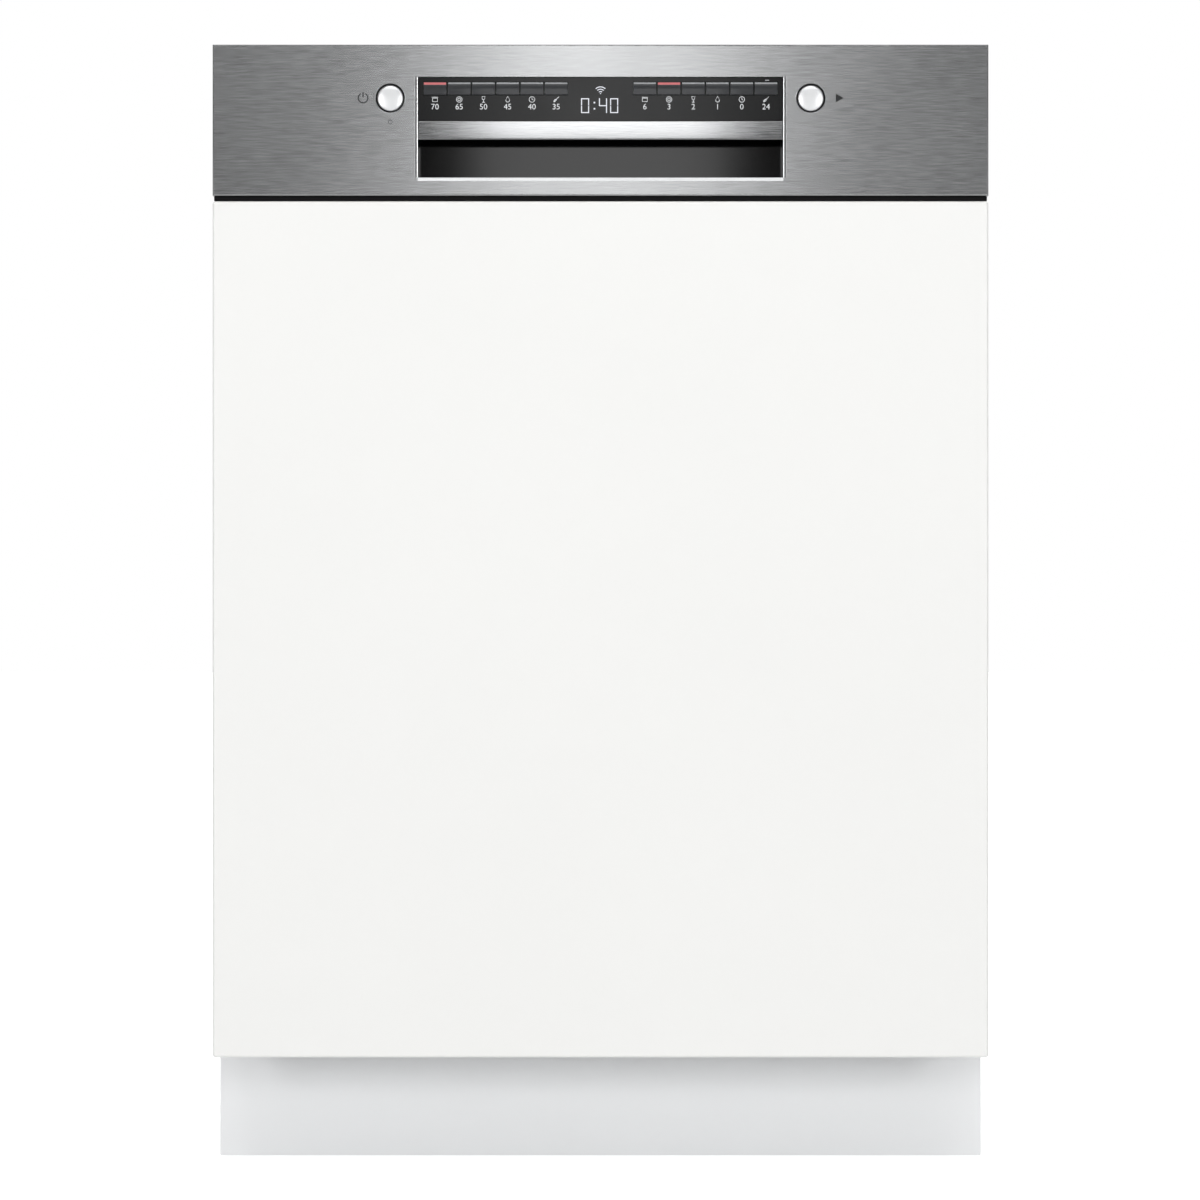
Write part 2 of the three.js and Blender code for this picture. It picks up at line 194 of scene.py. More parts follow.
def add_prism(bm, outline, low, high, axis="z", bevel=0.0, segments=2):
    """Raises a flat outline of (u, v) points into a solid between two heights along an axis."""
    verts = [bm.verts.new((u, v, low)) for u, v in outline]
    face = bm.faces.new(verts)
    lifted = bmesh.ops.extrude_face_region(bm, geom=[face])["geom"]
    top = [item for item in lifted if isinstance(item, bmesh.types.BMVert)]
    bmesh.ops.translate(bm, vec=(0, 0, high - low), verts=top)
    made = verts + top
    turn = {"z": Matrix.Identity(3), "y": Matrix(((1, 0, 0), (0, 0, 1), (0, 1, 0))),
            "x": Matrix(((0, 0, 1), (1, 0, 0), (0, 1, 0)))}[axis]
    bmesh.ops.transform(bm, matrix=turn.to_4x4(), verts=made)
    if bevel:
        bm.normal_update()
        edges = {e for v in made for e in v.link_edges}
        rim = [
            e for e in edges if len(e.link_faces) == 2
            and abs(e.calc_face_angle(0.0)) > math.radians(60)
        ]
        round_edges(bm, rim, bevel, segments)


def embossed(axis, at, low, high, steps, thickness):
    """A pressed sheet: a rectangle at a depth, (inset, rise) steps, creases and a thickness."""
    bm = bmesh.new()
    corners = [(low[0], low[1]), (high[0], low[1]), (high[0], high[1]), (low[0], high[1])]
    turn = {
        "x": lambda u, v: (at, u, v), "y": lambda u, v: (u, at, v), "z": lambda u, v: (u, v, at),
    }[axis]
    face = bm.faces.new([bm.verts.new(turn(u, v)) for u, v in corners])
    faces = {face}
    for inset, rise in steps:
        ring = bmesh.ops.inset_region(
            bm, faces=[face], thickness=inset, depth=0.0, use_even_offset=True,
        )["faces"]
        direction = {"x": (rise, 0, 0), "y": (0, rise, 0), "z": (0, 0, rise)}[axis]
        bmesh.ops.translate(bm, vec=direction, verts=list(face.verts))
        faces.update(ring)
    bmesh.ops.recalc_face_normals(bm, faces=list(faces))
    round_sharp(bm, 1.5, 2, angle=8)
    bmesh.ops.solidify(bm, geom=list(bm.faces), thickness=thickness)
    return bm


def carve(bm, *cutters):
    """Cuts closed shapes out of a closed shape and gives back the result."""
    def holder(shape):
        mesh = bpy.data.meshes.new("shape")
        bmesh.ops.recalc_face_normals(shape, faces=shape.faces)
        shape.to_mesh(mesh)
        shape.free()
        thing = bpy.data.objects.new("shape", mesh)
        bpy.context.scene.collection.objects.link(thing)
        return thing

    things = [holder(shape) for shape in (bm, *cutters)]
    for tool in things[1:]:
        cut = things[0].modifiers.new("cut", "BOOLEAN")
        cut.operation = "DIFFERENCE"
        cut.solver = "EXACT"
        cut.object = tool
    bpy.context.view_layer.update()
    result = bmesh.new()
    result.from_object(things[0], bpy.context.evaluated_depsgraph_get())
    for thing in things:
        mesh = thing.data
        bpy.data.objects.remove(thing)
        bpy.data.meshes.remove(mesh)
    bmesh.ops.remove_doubles(result, verts=result.verts, dist=0.001)
    bmesh.ops.dissolve_limit(
        result, angle_limit=math.radians(0.3), verts=result.verts, edges=result.edges,
    )
    return result


def shape_of(adder, *args, **settings):
    """A new bmesh holding what one adder makes."""
    bm = bmesh.new()
    adder(bm, *args, **settings)
    return bm


def rounded_path(points, radius, closed=False, steps=4):
    """A path through the points whose corners are arcs."""
    points = [Vector(point) for point in points]
    count = len(points)
    path = []
    for index, point in enumerate(points):
        if not closed and index in (0, count - 1):
            path.append(point)
            continue
        before = (points[index - 1] - point).normalized()
        after = (points[(index + 1) % count] - point).normalized()
        start, end = point + before * radius, point + after * radius
        for step in range(steps + 1):
            share = step / steps
            path.append(start.lerp(point, share).lerp(point.lerp(end, share), share))
    return path


def wire_mesh(paths, diameter, sides=2):
    """A mesh of round wires along paths; each path is (points, closed)."""
    curve = bpy.data.curves.new("wires", "CURVE")
    curve.dimensions = "3D"
    curve.bevel_depth = diameter / 2
    curve.bevel_resolution = sides
    curve.use_fill_caps = True
    for points, closed in paths:
        spline = curve.splines.new("POLY")
        spline.points.add(len(points) - 1)
        for slot, point in zip(spline.points, points):
            slot.co = (*point, 1.0)
        spline.use_cyclic_u = closed
    holder = bpy.data.objects.new("wires", curve)
    bpy.context.scene.collection.objects.link(holder)
    bpy.context.view_layer.update()
    made = bmesh.new()
    mesh = bpy.data.meshes.new_from_object(
        holder.evaluated_get(bpy.context.evaluated_depsgraph_get())
    )
    made.from_mesh(mesh)
    bpy.data.objects.remove(holder)
    bpy.data.curves.remove(curve)
    bpy.data.meshes.remove(mesh)
    return made


def settle(name, bm, finish, body, replaced=(), smooth=35):
    """Turns a shape into a finished piece in its place, which rides on a body."""
    bmesh.ops.remove_doubles(bm, verts=bm.verts, dist=0.0005)
    bmesh.ops.recalc_face_normals(bm, faces=bm.faces)
    bmesh.ops.scale(bm, vec=(MM, MM, MM), verts=bm.verts)
    mesh = bpy.data.meshes.new(name)
    bm.to_mesh(mesh)
    bm.free()
    mesh.shade_smooth()
    mesh.set_sharp_from_angle(angle=math.radians(smooth))
    mesh.materials.append(finish)
    piece = bpy.data.objects.new(name, mesh)
    bpy.context.scene.collection.objects.link(piece)
    even = piece.modifiers.new("even shading", "WEIGHTED_NORMAL")
    even.keep_sharp = True
    even.weight = 100
    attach(piece, body)
    if replaced:
        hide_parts(*replaced)
    return piece


# ---------------------------------------------------------------- finishes


def add_node(tree, kind, inputs=None, **settings):
    """Adds one node: settings are its properties, inputs its sockets' values or feeding sockets."""
    node = tree.nodes.new(kind)
    for name, value in settings.items():
        setattr(node, name, value)
    for key, value in (inputs or {}).items():
        if isinstance(value, bpy.types.NodeSocket):
            tree.links.new(value, node.inputs[key])
        else:
            node.inputs[key].default_value = value
    return node


def add_scaled(tree, value, factor, offset):
    """A value times a factor, plus an offset."""
    inputs = {0: value, 1: factor, 2: offset}
    return add_node(tree, "ShaderNodeMath", inputs, operation="MULTIPLY_ADD")


def add_relief(tree, height, strength, distance):
    """A fine relief that only the shading shows, its depth in metres."""
    inputs = {"Height": height, "Strength": strength, "Distance": distance}
    return add_node(tree, "ShaderNodeBump", inputs)


def start_finish(name):
    """An empty node material, its tree and its Object coordinates."""
    material = bpy.data.materials.new(name)
    material.use_nodes = True
    tree = material.node_tree
    tree.nodes.clear()
    return material, tree, add_node(tree, "ShaderNodeTexCoord").outputs["Object"]


def close_finish(tree, inputs):
    """Ends a material with the Principled surface that the inputs describe."""
    surface = add_node(tree, "ShaderNodeBsdfPrincipled", inputs)
    add_node(tree, "ShaderNodeOutputMaterial", {"Surface": surface.outputs["BSDF"]})


def lines_per(millimetres):
    """Texture scale whose pattern repeats every so many millimetres on Object coordinates."""
    return 1.0 / (millimetres * MM)


def brushed_stainless(name, colour, along, roughness=0.3):
    """Chromium steel sheet, belt-brushed one way: long fine scratches that spread highlights."""
    material, tree, place = start_finish(name)
    # Real scratches are 0.1 mm wide; 0.8 mm is the narrowest that shows. They are 15 mm long.
    fine, long_run = lines_per(0.8), lines_per(15)
    scale = {"x": (long_run, fine, fine), "z": (fine, fine, long_run)}[along]
    stretched = add_node(
        tree, "ShaderNodeMapping", {"Vector": place, "Scale": scale},
    ).outputs["Vector"]
    scratches = add_node(
        tree, "ShaderNodeTexNoise", {"Vector": stretched, "Scale": 1.0, "Detail": 4.0},
    )
    broad = add_node(
        tree, "ShaderNodeTexNoise", {"Vector": place, "Scale": lines_per(90), "Detail": 1.0},
    )
    tone = add_node(
        tree, "ShaderNodeMapRange",
        {
            "Value": scratches.outputs["Fac"], "From Min": 0.25, "From Max": 0.75, "To Min": 0.82,
            "To Max": 1.12,
        },
    )
    base = add_node(
        tree, "ShaderNodeVectorMath", {0: colour[:3], "Scale": tone.outputs["Result"]},
        operation="SCALE",
    )
    rough = add_scaled(tree, scratches.outputs["Fac"], 0.1, roughness - 0.08)
    rougher = add_scaled(tree, broad.outputs["Fac"], 0.05, rough.outputs[0])
    relief = add_relief(tree, scratches.outputs["Fac"], 0.07, 0.00003)
    close_finish(
        tree,
        {
            "Base Color": base.outputs[0], "Metallic": 1.0, "Roughness": rougher.outputs[0],
            "Anisotropic": 0.85, "Anisotropic Rotation": 0.25 if along == "x" else 0.0,
            "Normal": relief.outputs[0],
        },
    )
    return material


def rolled_stainless(name, colour, roughness=0.24):
    """Bright rolled stainless of the tub: a soft mirror with pressing waves and drying marks."""
    material, tree, place = start_finish(name)
    waves = add_node(
        tree, "ShaderNodeTexNoise", {"Vector": place, "Scale": lines_per(110), "Detail": 2.0},
    )
    grit = add_node(
        tree, "ShaderNodeTexNoise", {"Vector": place, "Scale": lines_per(1.2), "Detail": 2.0},
    )
    marks = add_node(
        tree, "ShaderNodeTexNoise", {"Vector": place, "Scale": lines_per(38), "Detail": 5.0},
    )
    rough = add_node(tree, "ShaderNodeMapRange", {
        "Value": marks.outputs["Fac"], "From Min": 0.35, "From Max": 0.7,
        "To Min": roughness - 0.015, "To Max": roughness + 0.02,
    })
    wavy = add_relief(tree, waves.outputs["Fac"], 0.12, 0.001)
    relief = add_node(
        tree, "ShaderNodeBump",
        {
            "Height": grit.outputs["Fac"], "Strength": 0.08, "Distance": 0.0001,
            "Normal": wavy.outputs[0],
        },
    )
    close_finish(
        tree,
        {
            "Base Color": colour, "Metallic": 1.0, "Roughness": rough.outputs["Result"],
            "Normal": relief.outputs[0],
        },
    )
    return material


def galvanised_sheet(name, colour):
    """Hot-dip galvanised sheet: flat grey zinc with a spangle of crystals about 9 mm across."""
    material, tree, place = start_finish(name)
    spangle = add_node(tree, "ShaderNodeTexVoronoi", {"Vector": place, "Scale": lines_per(9)})
    crystal = add_node(
        tree, "ShaderNodeSeparateColor", {"Color": spangle.outputs["Color"]},
    ).outputs[0]
    tone = add_node(tree, "ShaderNodeMapRange", {"Value": crystal, "To Min": 0.86, "To Max": 1.05})
    base = add_node(
        tree, "ShaderNodeVectorMath", {0: colour[:3], "Scale": tone.outputs["Result"]},
        operation="SCALE",
    )
    rough = add_node(tree, "ShaderNodeMapRange", {"Value": crystal, "To Min": 0.36, "To Max": 0.52})
    soil = add_node(
        tree, "ShaderNodeTexNoise", {"Vector": place, "Scale": lines_per(2.5), "Detail": 3.0},
    )
    relief = add_relief(tree, soil.outputs["Fac"], 0.1, 0.0001)
    close_finish(tree, {
        "Base Color": base.outputs[0], "Metallic": 0.85, "Roughness": rough.outputs["Result"],
        "Normal": relief.outputs[0],
    })
    return material


def lacquered_board(name, colour, roughness, peel_mm):
    """Spray-lacquered fibreboard: even colour under a satin film with a faint orange peel."""
    material, tree, place = start_finish(name)
    peel = add_node(
        tree, "ShaderNodeTexNoise", {"Vector": place, "Scale": lines_per(peel_mm), "Detail": 1.5},
    )
    cloud = add_node(
        tree, "ShaderNodeTexNoise", {"Vector": place, "Scale": lines_per(240), "Detail": 2.0},
    )
    tone = add_node(
        tree, "ShaderNodeMapRange",
        {"Value": cloud.outputs["Fac"], "To Min": 0.985, "To Max": 1.01},
    )
    base = add_node(
        tree, "ShaderNodeVectorMath", {0: colour[:3], "Scale": tone.outputs["Result"]},
        operation="SCALE",
    )
    rough = add_scaled(tree, peel.outputs["Fac"], 0.06, roughness - 0.03)
    relief = add_relief(tree, peel.outputs["Fac"], 0.15, 0.00008)
    close_finish(
        tree,
        {
            "Base Color": base.outputs[0], "Roughness": rough.outputs[0], "IOR": 1.49,
            "Normal": relief.outputs[0],
        },
    )
    return material


def moulded_plastic(name, colour, roughness, grain_mm, depth=0.3, coat=0.0, specular=0.5):
    """Injection-moulded plastic: colour right through, with the fine grain of its mould."""
    material, tree, place = start_finish(name)
    grain = add_node(
        tree, "ShaderNodeTexNoise", {"Vector": place, "Scale": lines_per(grain_mm), "Detail": 2.5},
    )
    flow = add_node(
        tree, "ShaderNodeTexNoise", {"Vector": place, "Scale": lines_per(45), "Detail": 2.0},
    )
    tone = add_node(
        tree, "ShaderNodeMapRange", {"Value": flow.outputs["Fac"], "To Min": 0.93, "To Max": 1.06},
    )
    base = add_node(
        tree, "ShaderNodeVectorMath", {0: colour[:3], "Scale": tone.outputs["Result"]},
        operation="SCALE",
    )
    rough = add_scaled(tree, grain.outputs["Fac"], 0.3 * roughness, 0.85 * roughness)
    relief = add_relief(tree, grain.outputs["Fac"], depth, 0.0001)
    close_finish(
        tree,
        {
            "Base Color": base.outputs[0], "Roughness": rough.outputs[0], "IOR": 1.5,
            "Specular IOR Level": specular, "Coat Weight": coat, "Coat Roughness": 0.05,
            "Normal": relief.outputs[0],
        },
    )
    return material


def metallised_plastic(name, colour, roughness):
    """Satin silver film on a moulding: metallic, with a fine even grain and no brush lines."""
    material, tree, place = start_finish(name)
    grain = add_node(
        tree, "ShaderNodeTexNoise", {"Vector": place, "Scale": lines_per(0.7), "Detail": 2.0},
    )
    rough = add_scaled(tree, grain.outputs["Fac"], 0.08, roughness - 0.04)
    relief = add_relief(tree, grain.outputs["Fac"], 0.1, 0.00005)
    close_finish(
        tree,
        {
            "Base Color": colour, "Metallic": 0.9, "Roughness": rough.outputs[0],
            "Normal": relief.outputs[0],
        },
    )
    return material


def soft_rubber(name, colour):
    """Extruded EPDM seal: matt black, a little dusty, with faint drawing lines."""
    material, tree, place = start_finish(name)
    dust = add_node(
        tree, "ShaderNodeTexNoise", {"Vector": place, "Scale": lines_per(6), "Detail": 4.0},
    )
    tone = add_node(
        tree, "ShaderNodeMapRange", {"Value": dust.outputs["Fac"], "To Min": 0.75, "To Max": 1.35},
    )
    base = add_node(
        tree, "ShaderNodeVectorMath", {0: colour[:3], "Scale": tone.outputs["Result"]},
        operation="SCALE",
    )
    relief = add_relief(tree, dust.outputs["Fac"], 0.2, 0.0002)
    close_finish(
        tree,
        {
            "Base Color": base.outputs[0], "Roughness": 0.72, "Sheen Weight": 0.15,
            "Sheen Roughness": 0.5, "Normal": relief.outputs[0],
        },
    )
    return material


def glowing(name, colour, strength):
    """Lit segment or lamp behind a clear window."""
    material, tree, place = start_finish(name)
    bleed = add_node(
        tree, "ShaderNodeTexNoise", {"Vector": place, "Scale": lines_per(4), "Detail": 1.0},
    )
    level = add_node(tree, "ShaderNodeMapRange", {
        "Value": bleed.outputs["Fac"], "To Min": strength * 0.85, "To Max": strength * 1.1,
    })
    close_finish(tree, {
        "Base Color": (0.02, 0.02, 0.02, 1.0), "Roughness": 0.3,
        "Emission Color": colour, "Emission Strength": level.outputs["Result"],
    })
    return material


def circuit_board(name, colour):
    """Green solder resist over copper tracks about 3 mm apart."""
    material, tree, place = start_finish(name)
    tracks = add_node(tree, "ShaderNodeTexBrick", {
        "Vector": place, "Scale": lines_per(30), "Color1": colour, "Color2": colour,
        "Mortar": linear(0x2F7A52), "Mortar Size": 0.03,
    })
    close_finish(
        tree, {"Base Color": tracks.outputs["Color"], "Roughness": 0.35, "Coat Weight": 0.4},
    )
    return material


def woven_gauze(name, colour, pitch_mm):
    """Perforated filter sheet: bright steel with round holes at an even pitch, seen as dark dots.
    """
    material, tree, place = start_finish(name)
    cells = add_node(
        tree, "ShaderNodeTexVoronoi",
        {"Vector": place, "Scale": lines_per(pitch_mm), "Randomness": 0.0},
    )
    hole = add_node(
        tree, "ShaderNodeMapRange",
        {
            "Value": cells.outputs["Distance"], "From Min": 0.3, "From Max": 0.4, "To Min": 0.06,
            "To Max": 1.0,
        },
    )
    base = add_node(
        tree, "ShaderNodeVectorMath", {0: colour[:3], "Scale": hole.outputs["Result"]},
        operation="SCALE",
    )
    rough = add_node(
        tree, "ShaderNodeMapRange",
        {"Value": hole.outputs["Result"], "To Min": 0.8, "To Max": 0.35},
    )
    relief = add_relief(tree, hole.outputs["Result"], 0.5, 0.0004)
    close_finish(
        tree,
        {
            "Base Color": base.outputs[0], "Metallic": 0.9, "Roughness": rough.outputs["Result"],
            "Normal": relief.outputs[0],
        },
    )
    return material


FINISHES = {}


def make_finishes(front, racks):
    """Fills FINISHES with the object's materials, from the colours in the settings."""
    FINISHES.update({
        "steel": brushed_stainless("brushed_steel_fascia", front.steel, "x", roughness=0.24),
        "tub_steel": rolled_stainless("rolled_steel_tub", linear(0xC9CACB)),
        "zinc": galvanised_sheet("galvanised_sheet", linear(0xB4B8BB)),
        "front_white": lacquered_board("white_lacquered_board", front.board, 0.38, 2.2),
        "plinth_white": lacquered_board("white_coated_plinth", front.plinth, 0.5, 1.4),
        "black": moulded_plastic("black_abs", linear(0x141517), 0.45, 1.0),
        "gloss_black": moulded_plastic(
            "gloss_black_abs", linear(0x0A0B0C), 0.14, 30, depth=0.02, specular=0.24,
        ),
        "recess_black": moulded_plastic(
            "satin_black_recess", linear(0x050506), 0.07, 30, depth=0.0, specular=0.3,
        ),
        # Painted shade: a near-black stand-in for the shade in the gap under the fascia.
        "gap_shade_black": moulded_plastic("matt_black_gap_shade", linear(0x101011), 0.7, 1.0, specular=0.12),
        "window": moulded_plastic(
            "smoked_window", linear(0x050506), 0.08, 60, depth=0.01, coat=0.8,
        ),
        "key_black": moulded_plastic(
            "key_black_abs", linear(0x26282B), 0.3, 0.8, depth=0.1, coat=0.2,
        ),
        "silver": brushed_stainless("satin_silver_strip", linear(0x9A9B9C), "x", roughness=0.135),
        "button_silver": metallised_plastic("satin_silver_button", linear(0xF4F5F6), 0.4),
        "bright_rim": metallised_plastic("polished_rim", linear(0xF2F3F4), 0.12),
        "grey": moulded_plastic("grey_polypropylene", linear(0x7F858B), 0.5, 0.9),
        "pale": moulded_plastic("pale_polypropylene", linear(0xC5C9CC), 0.45, 0.9),
        "blue_grey": moulded_plastic("blue_grey_polypropylene", linear(0x5E6E7C), 0.45, 0.9),
        "rubber": soft_rubber("black_seal_rubber", linear(0x1B1C1D)),
        "wire": moulded_plastic("nylon_coated_wire", racks.wire_colour, 0.35, 1.5, depth=0.15),
        "print": moulded_plastic("printed_white", linear(0xE2E4E6), 0.5, 0.7, depth=0.05),
        "print_dark": moulded_plastic("etched_dark_mark", linear(0x17181A), 0.55, 0.7, depth=0.05),
        "digits": glowing("lit_digits", linear(0xF4F7FF), 0.95),
        "key_line": metallised_plastic("satin_grey_line", linear(0xB4B6B8), 0.4),
        "red_lamp": glowing("red_key_lamp", front.lamp, 0.8),
        "board": circuit_board("circuit_board", linear(0x1C5A3A)),
        "felt": soft_rubber("bitumen_felt", linear(0x3A3B3C)),
        "gauze": woven_gauze("filter_gauze_sheet", linear(0xB9BCBE), 2.4),
    })


# ---------------------------------------------------------------- settings


def size_property(name, description, default, low, high):
    """A length setting in millimetres."""
    return FloatProperty(
        name=name, description=f"{description}, in millimetres", default=default, min=low, max=high,
    )


class FrontSettings(bpy.types.PropertyGroup):
    """Sizes and colours of the front."""

    steel: colour_property("Steel", "Colour of the brushed fascia", 0xB0B1B2)
    board: colour_property("Door board", "Colour of the lacquered door board", 0xF7F7F5)
    plinth: colour_property("Plinth", "Colour of the plinth board", 0xFDFEFF)
    lamp: colour_property("Key lamp", "Colour of the lamp line on a chosen key", 0xE0787C)
    board_round: size_property("Board edge", "Radius of the door board's edges", 2.2, 0.2, 4.0)
    steel_round: size_property("Steel edge", "Radius of the fascia's folded edges", 1.3, 0.2, 3.0)
    recess_rim: size_property(
        "Recess rim", "Width of the bright rim round the recess", 2.6, 0.5, 5.0,
    )


class RackSettings(bpy.types.PropertyGroup):
    """Sizes and colours of the wire baskets."""

    wire_colour: colour_property("Wire coat", "Colour of the nylon coat on the wires", 0xB9BDC0)
    rim_wire: size_property("Rim wire", "Diameter of the rim wires", 4.6, 2.0, 7.0)
    floor_wire: size_property("Floor wire", "Diameter of the floor wires and tines", 3.0, 1.5, 5.0)
    across_pitch: size_property(
        "Wire pitch", "Distance between neighbouring floor wires", 29.0, 15.0, 80.0,
    )
    tine_height: size_property("Tine height", "Height of the plate tines", 78.0, 30.0, 110.0)


class StudioSettings(bpy.types.PropertyGroup):
    """Camera and lights."""

    eye_distance: FloatProperty(
        name="Eye distance", description="Distance from the front to the camera", default=4.416,
        unit="LENGTH",
    )
    eye_height: FloatProperty(
        name="Eye height", description="Height of the camera above the floor", default=0.4369,
        unit="LENGTH",
    )
    eye_side: FloatProperty(
        name="Eye side", description="Sideways place of the camera", default=-0.0004, unit="LENGTH")
    lens: FloatProperty(
        name="Lens", description="Focal length in millimetres on a 36 mm sensor", default=171.9,
    )
    strip_power: FloatProperty(
        name="Strip light", description="Power of the strip light by the camera, in watts",
        default=7.4,
    )
    top_power: FloatProperty(
        name="Top light", description="Power of the soft light overhead, in watts", default=24.0,
    )
    fill_power: FloatProperty(
        name="Fill lights", description="Power of each soft light at the sides, in watts",
        default=35.0,
    )
    wall_level: FloatProperty(
        name="Wall level", description="Brightness of the room at eye height", default=0.12,
    )
    ceiling_level: FloatProperty(
        name="Ceiling level", description="Brightness of the room overhead", default=0.5,
    )


# ---------------------------------------------------------------- stage


# Widths and heights of the soft lights, in metres.
STRIP_SIZE = (0.42, 1.6)
OVERHEAD_SIZE = (2.4, 1.6)
SIDE_SIZE = (0.9, 1.4)
# Power of each light behind the object, as a share of one in front.
BACK_SHARE = 0.6
SENSOR_WIDTH = 36.0

class DISHWASHER_OT_stage(bpy.types.Operator):
    """Adds the floor, the soft studio lights and the camera"""

    bl_idname = "dishwasher.stage"
    bl_label = "Stage"

    def execute(self, context):
        studio = context.scene.dishwasher_studio
        self.add_floor()
        self.add_room(context.scene, studio.wall_level, studio.ceiling_level)
        front = -CAD_BOX[1][1]
        # An upright strip by the camera line gives brushed steel its bright middle and dark ends.
        self.add_light(
            "strip", studio.strip_power, STRIP_SIZE, (0.0, front - 4.9, 1.65), (0.0, 0.0, 0.8),
        )
        self.add_light(
            "overhead", studio.top_power, OVERHEAD_SIZE, (0.0, front - 1.3, 2.9), (0.0, 0.0, 0.5),
        )
        for name, side in (("left", -1), ("right", 1)):
            self.add_light(
                f"front_{name}", studio.fill_power, SIDE_SIZE, (side * 2.4, front - 3.4, 0.8),
                (0.0, 0.0, 0.4),
            )
            self.add_light(
                f"back_{name}", studio.fill_power * BACK_SHARE, SIDE_SIZE, (side * 2.6, 3.2, 1.9),
                (0.0, 0.0, 0.45),
            )
        camera = bpy.data.objects.new("camera", bpy.data.cameras.new("camera"))
        context.scene.collection.objects.link(camera)
        camera.location = (studio.eye_side, front - studio.eye_distance, studio.eye_height)
        camera.rotation_euler = (math.radians(90), 0.0, 0.0)
        camera.data.lens = studio.lens
        camera.data.sensor_width = SENSOR_WIDTH
        context.scene.camera = camera
        context.scene.view_settings.view_transform = "Standard"
        return {"FINISHED"}

    def add_floor(self):
        """A large pale floor with a hint of unevenness in its sheen."""
        material, tree, place = start_finish("pale_floor")
        cloud = add_node(tree, "ShaderNodeTexNoise", {"Vector": place, "Scale": 1.5, "Detail": 2.0})
        rough = add_node(
            tree, "ShaderNodeMapRange",
            {"Value": cloud.outputs["Fac"], "To Min": 0.75, "To Max": 0.9},
        )
        seen = add_node(tree, "ShaderNodeLightPath").outputs["Is Camera Ray"]
        glow = add_scaled(tree, seen, 0.7, 0.17)
        close_finish(
            tree,
            {
                "Base Color": (0.8, 0.8, 0.8, 1.0), "Roughness": rough.outputs["Result"],
                "Specular IOR Level": 0.1, "Emission Color": (1.0, 1.0, 1.0, 1.0),
                "Emission Strength": glow.outputs[0],
            },
        )
        bm = bmesh.new()
        bmesh.ops.create_grid(bm, x_segments=2, y_segments=2, size=30.0)
        mesh = bpy.data.meshes.new("floor")
        bm.to_mesh(mesh)
        bm.free()
        mesh.materials.append(material)
        floor = bpy.data.objects.new("floor", mesh)
        floor.location = (0.0, 0.0, -0.0005)
        bpy.context.scene.collection.objects.link(floor)

    def add_room(self, scene, wall, ceiling):
        """A white backdrop all round, which lights the object as a dim room with a pale ceiling."""
        world = bpy.data.worlds.new("room")
        world.use_nodes = True
        tree = world.node_tree
        tree.nodes.clear()
        seen = add_node(tree, "ShaderNodeLightPath").outputs["Is Camera Ray"]
        way = add_node(tree, "ShaderNodeTexCoord").outputs["Generated"]
        height = add_node(tree, "ShaderNodeSeparateXYZ", {"Vector": way}).outputs["Z"]
        level = add_node(tree, "ShaderNodeMapRange", {
            "Value": height, "From Min": 0.1, "From Max": 0.9, "To Min": wall, "To Max": ceiling,
        })
        strength = add_node(
            tree, "ShaderNodeMapRange",
            {"Value": seen, "To Min": level.outputs["Result"], "To Max": 1.0},
        )
        sky = add_node(
            tree, "ShaderNodeBackground",
            {"Color": (1.0, 1.0, 1.0, 1.0), "Strength": strength.outputs["Result"]},
        )
        add_node(tree, "ShaderNodeOutputWorld", {"Surface": sky.outputs["Background"]})
        scene.world = world

    def add_light(self, name, power, size, place, target):
        """A rectangular soft light at a place, turned to a target."""
        lamp = bpy.data.lights.new(name, "AREA")
        lamp.shape = "RECTANGLE"
        lamp.size, lamp.size_y = size
        lamp.energy = power
        light = bpy.data.objects.new(name, lamp)
        light.location = place
        light.rotation_euler = (Vector(target) - Vector(place)).to_track_quat("-Z", "Y").to_euler()
        bpy.context.scene.collection.objects.link(light)


# ---------------------------------------------------------------- front


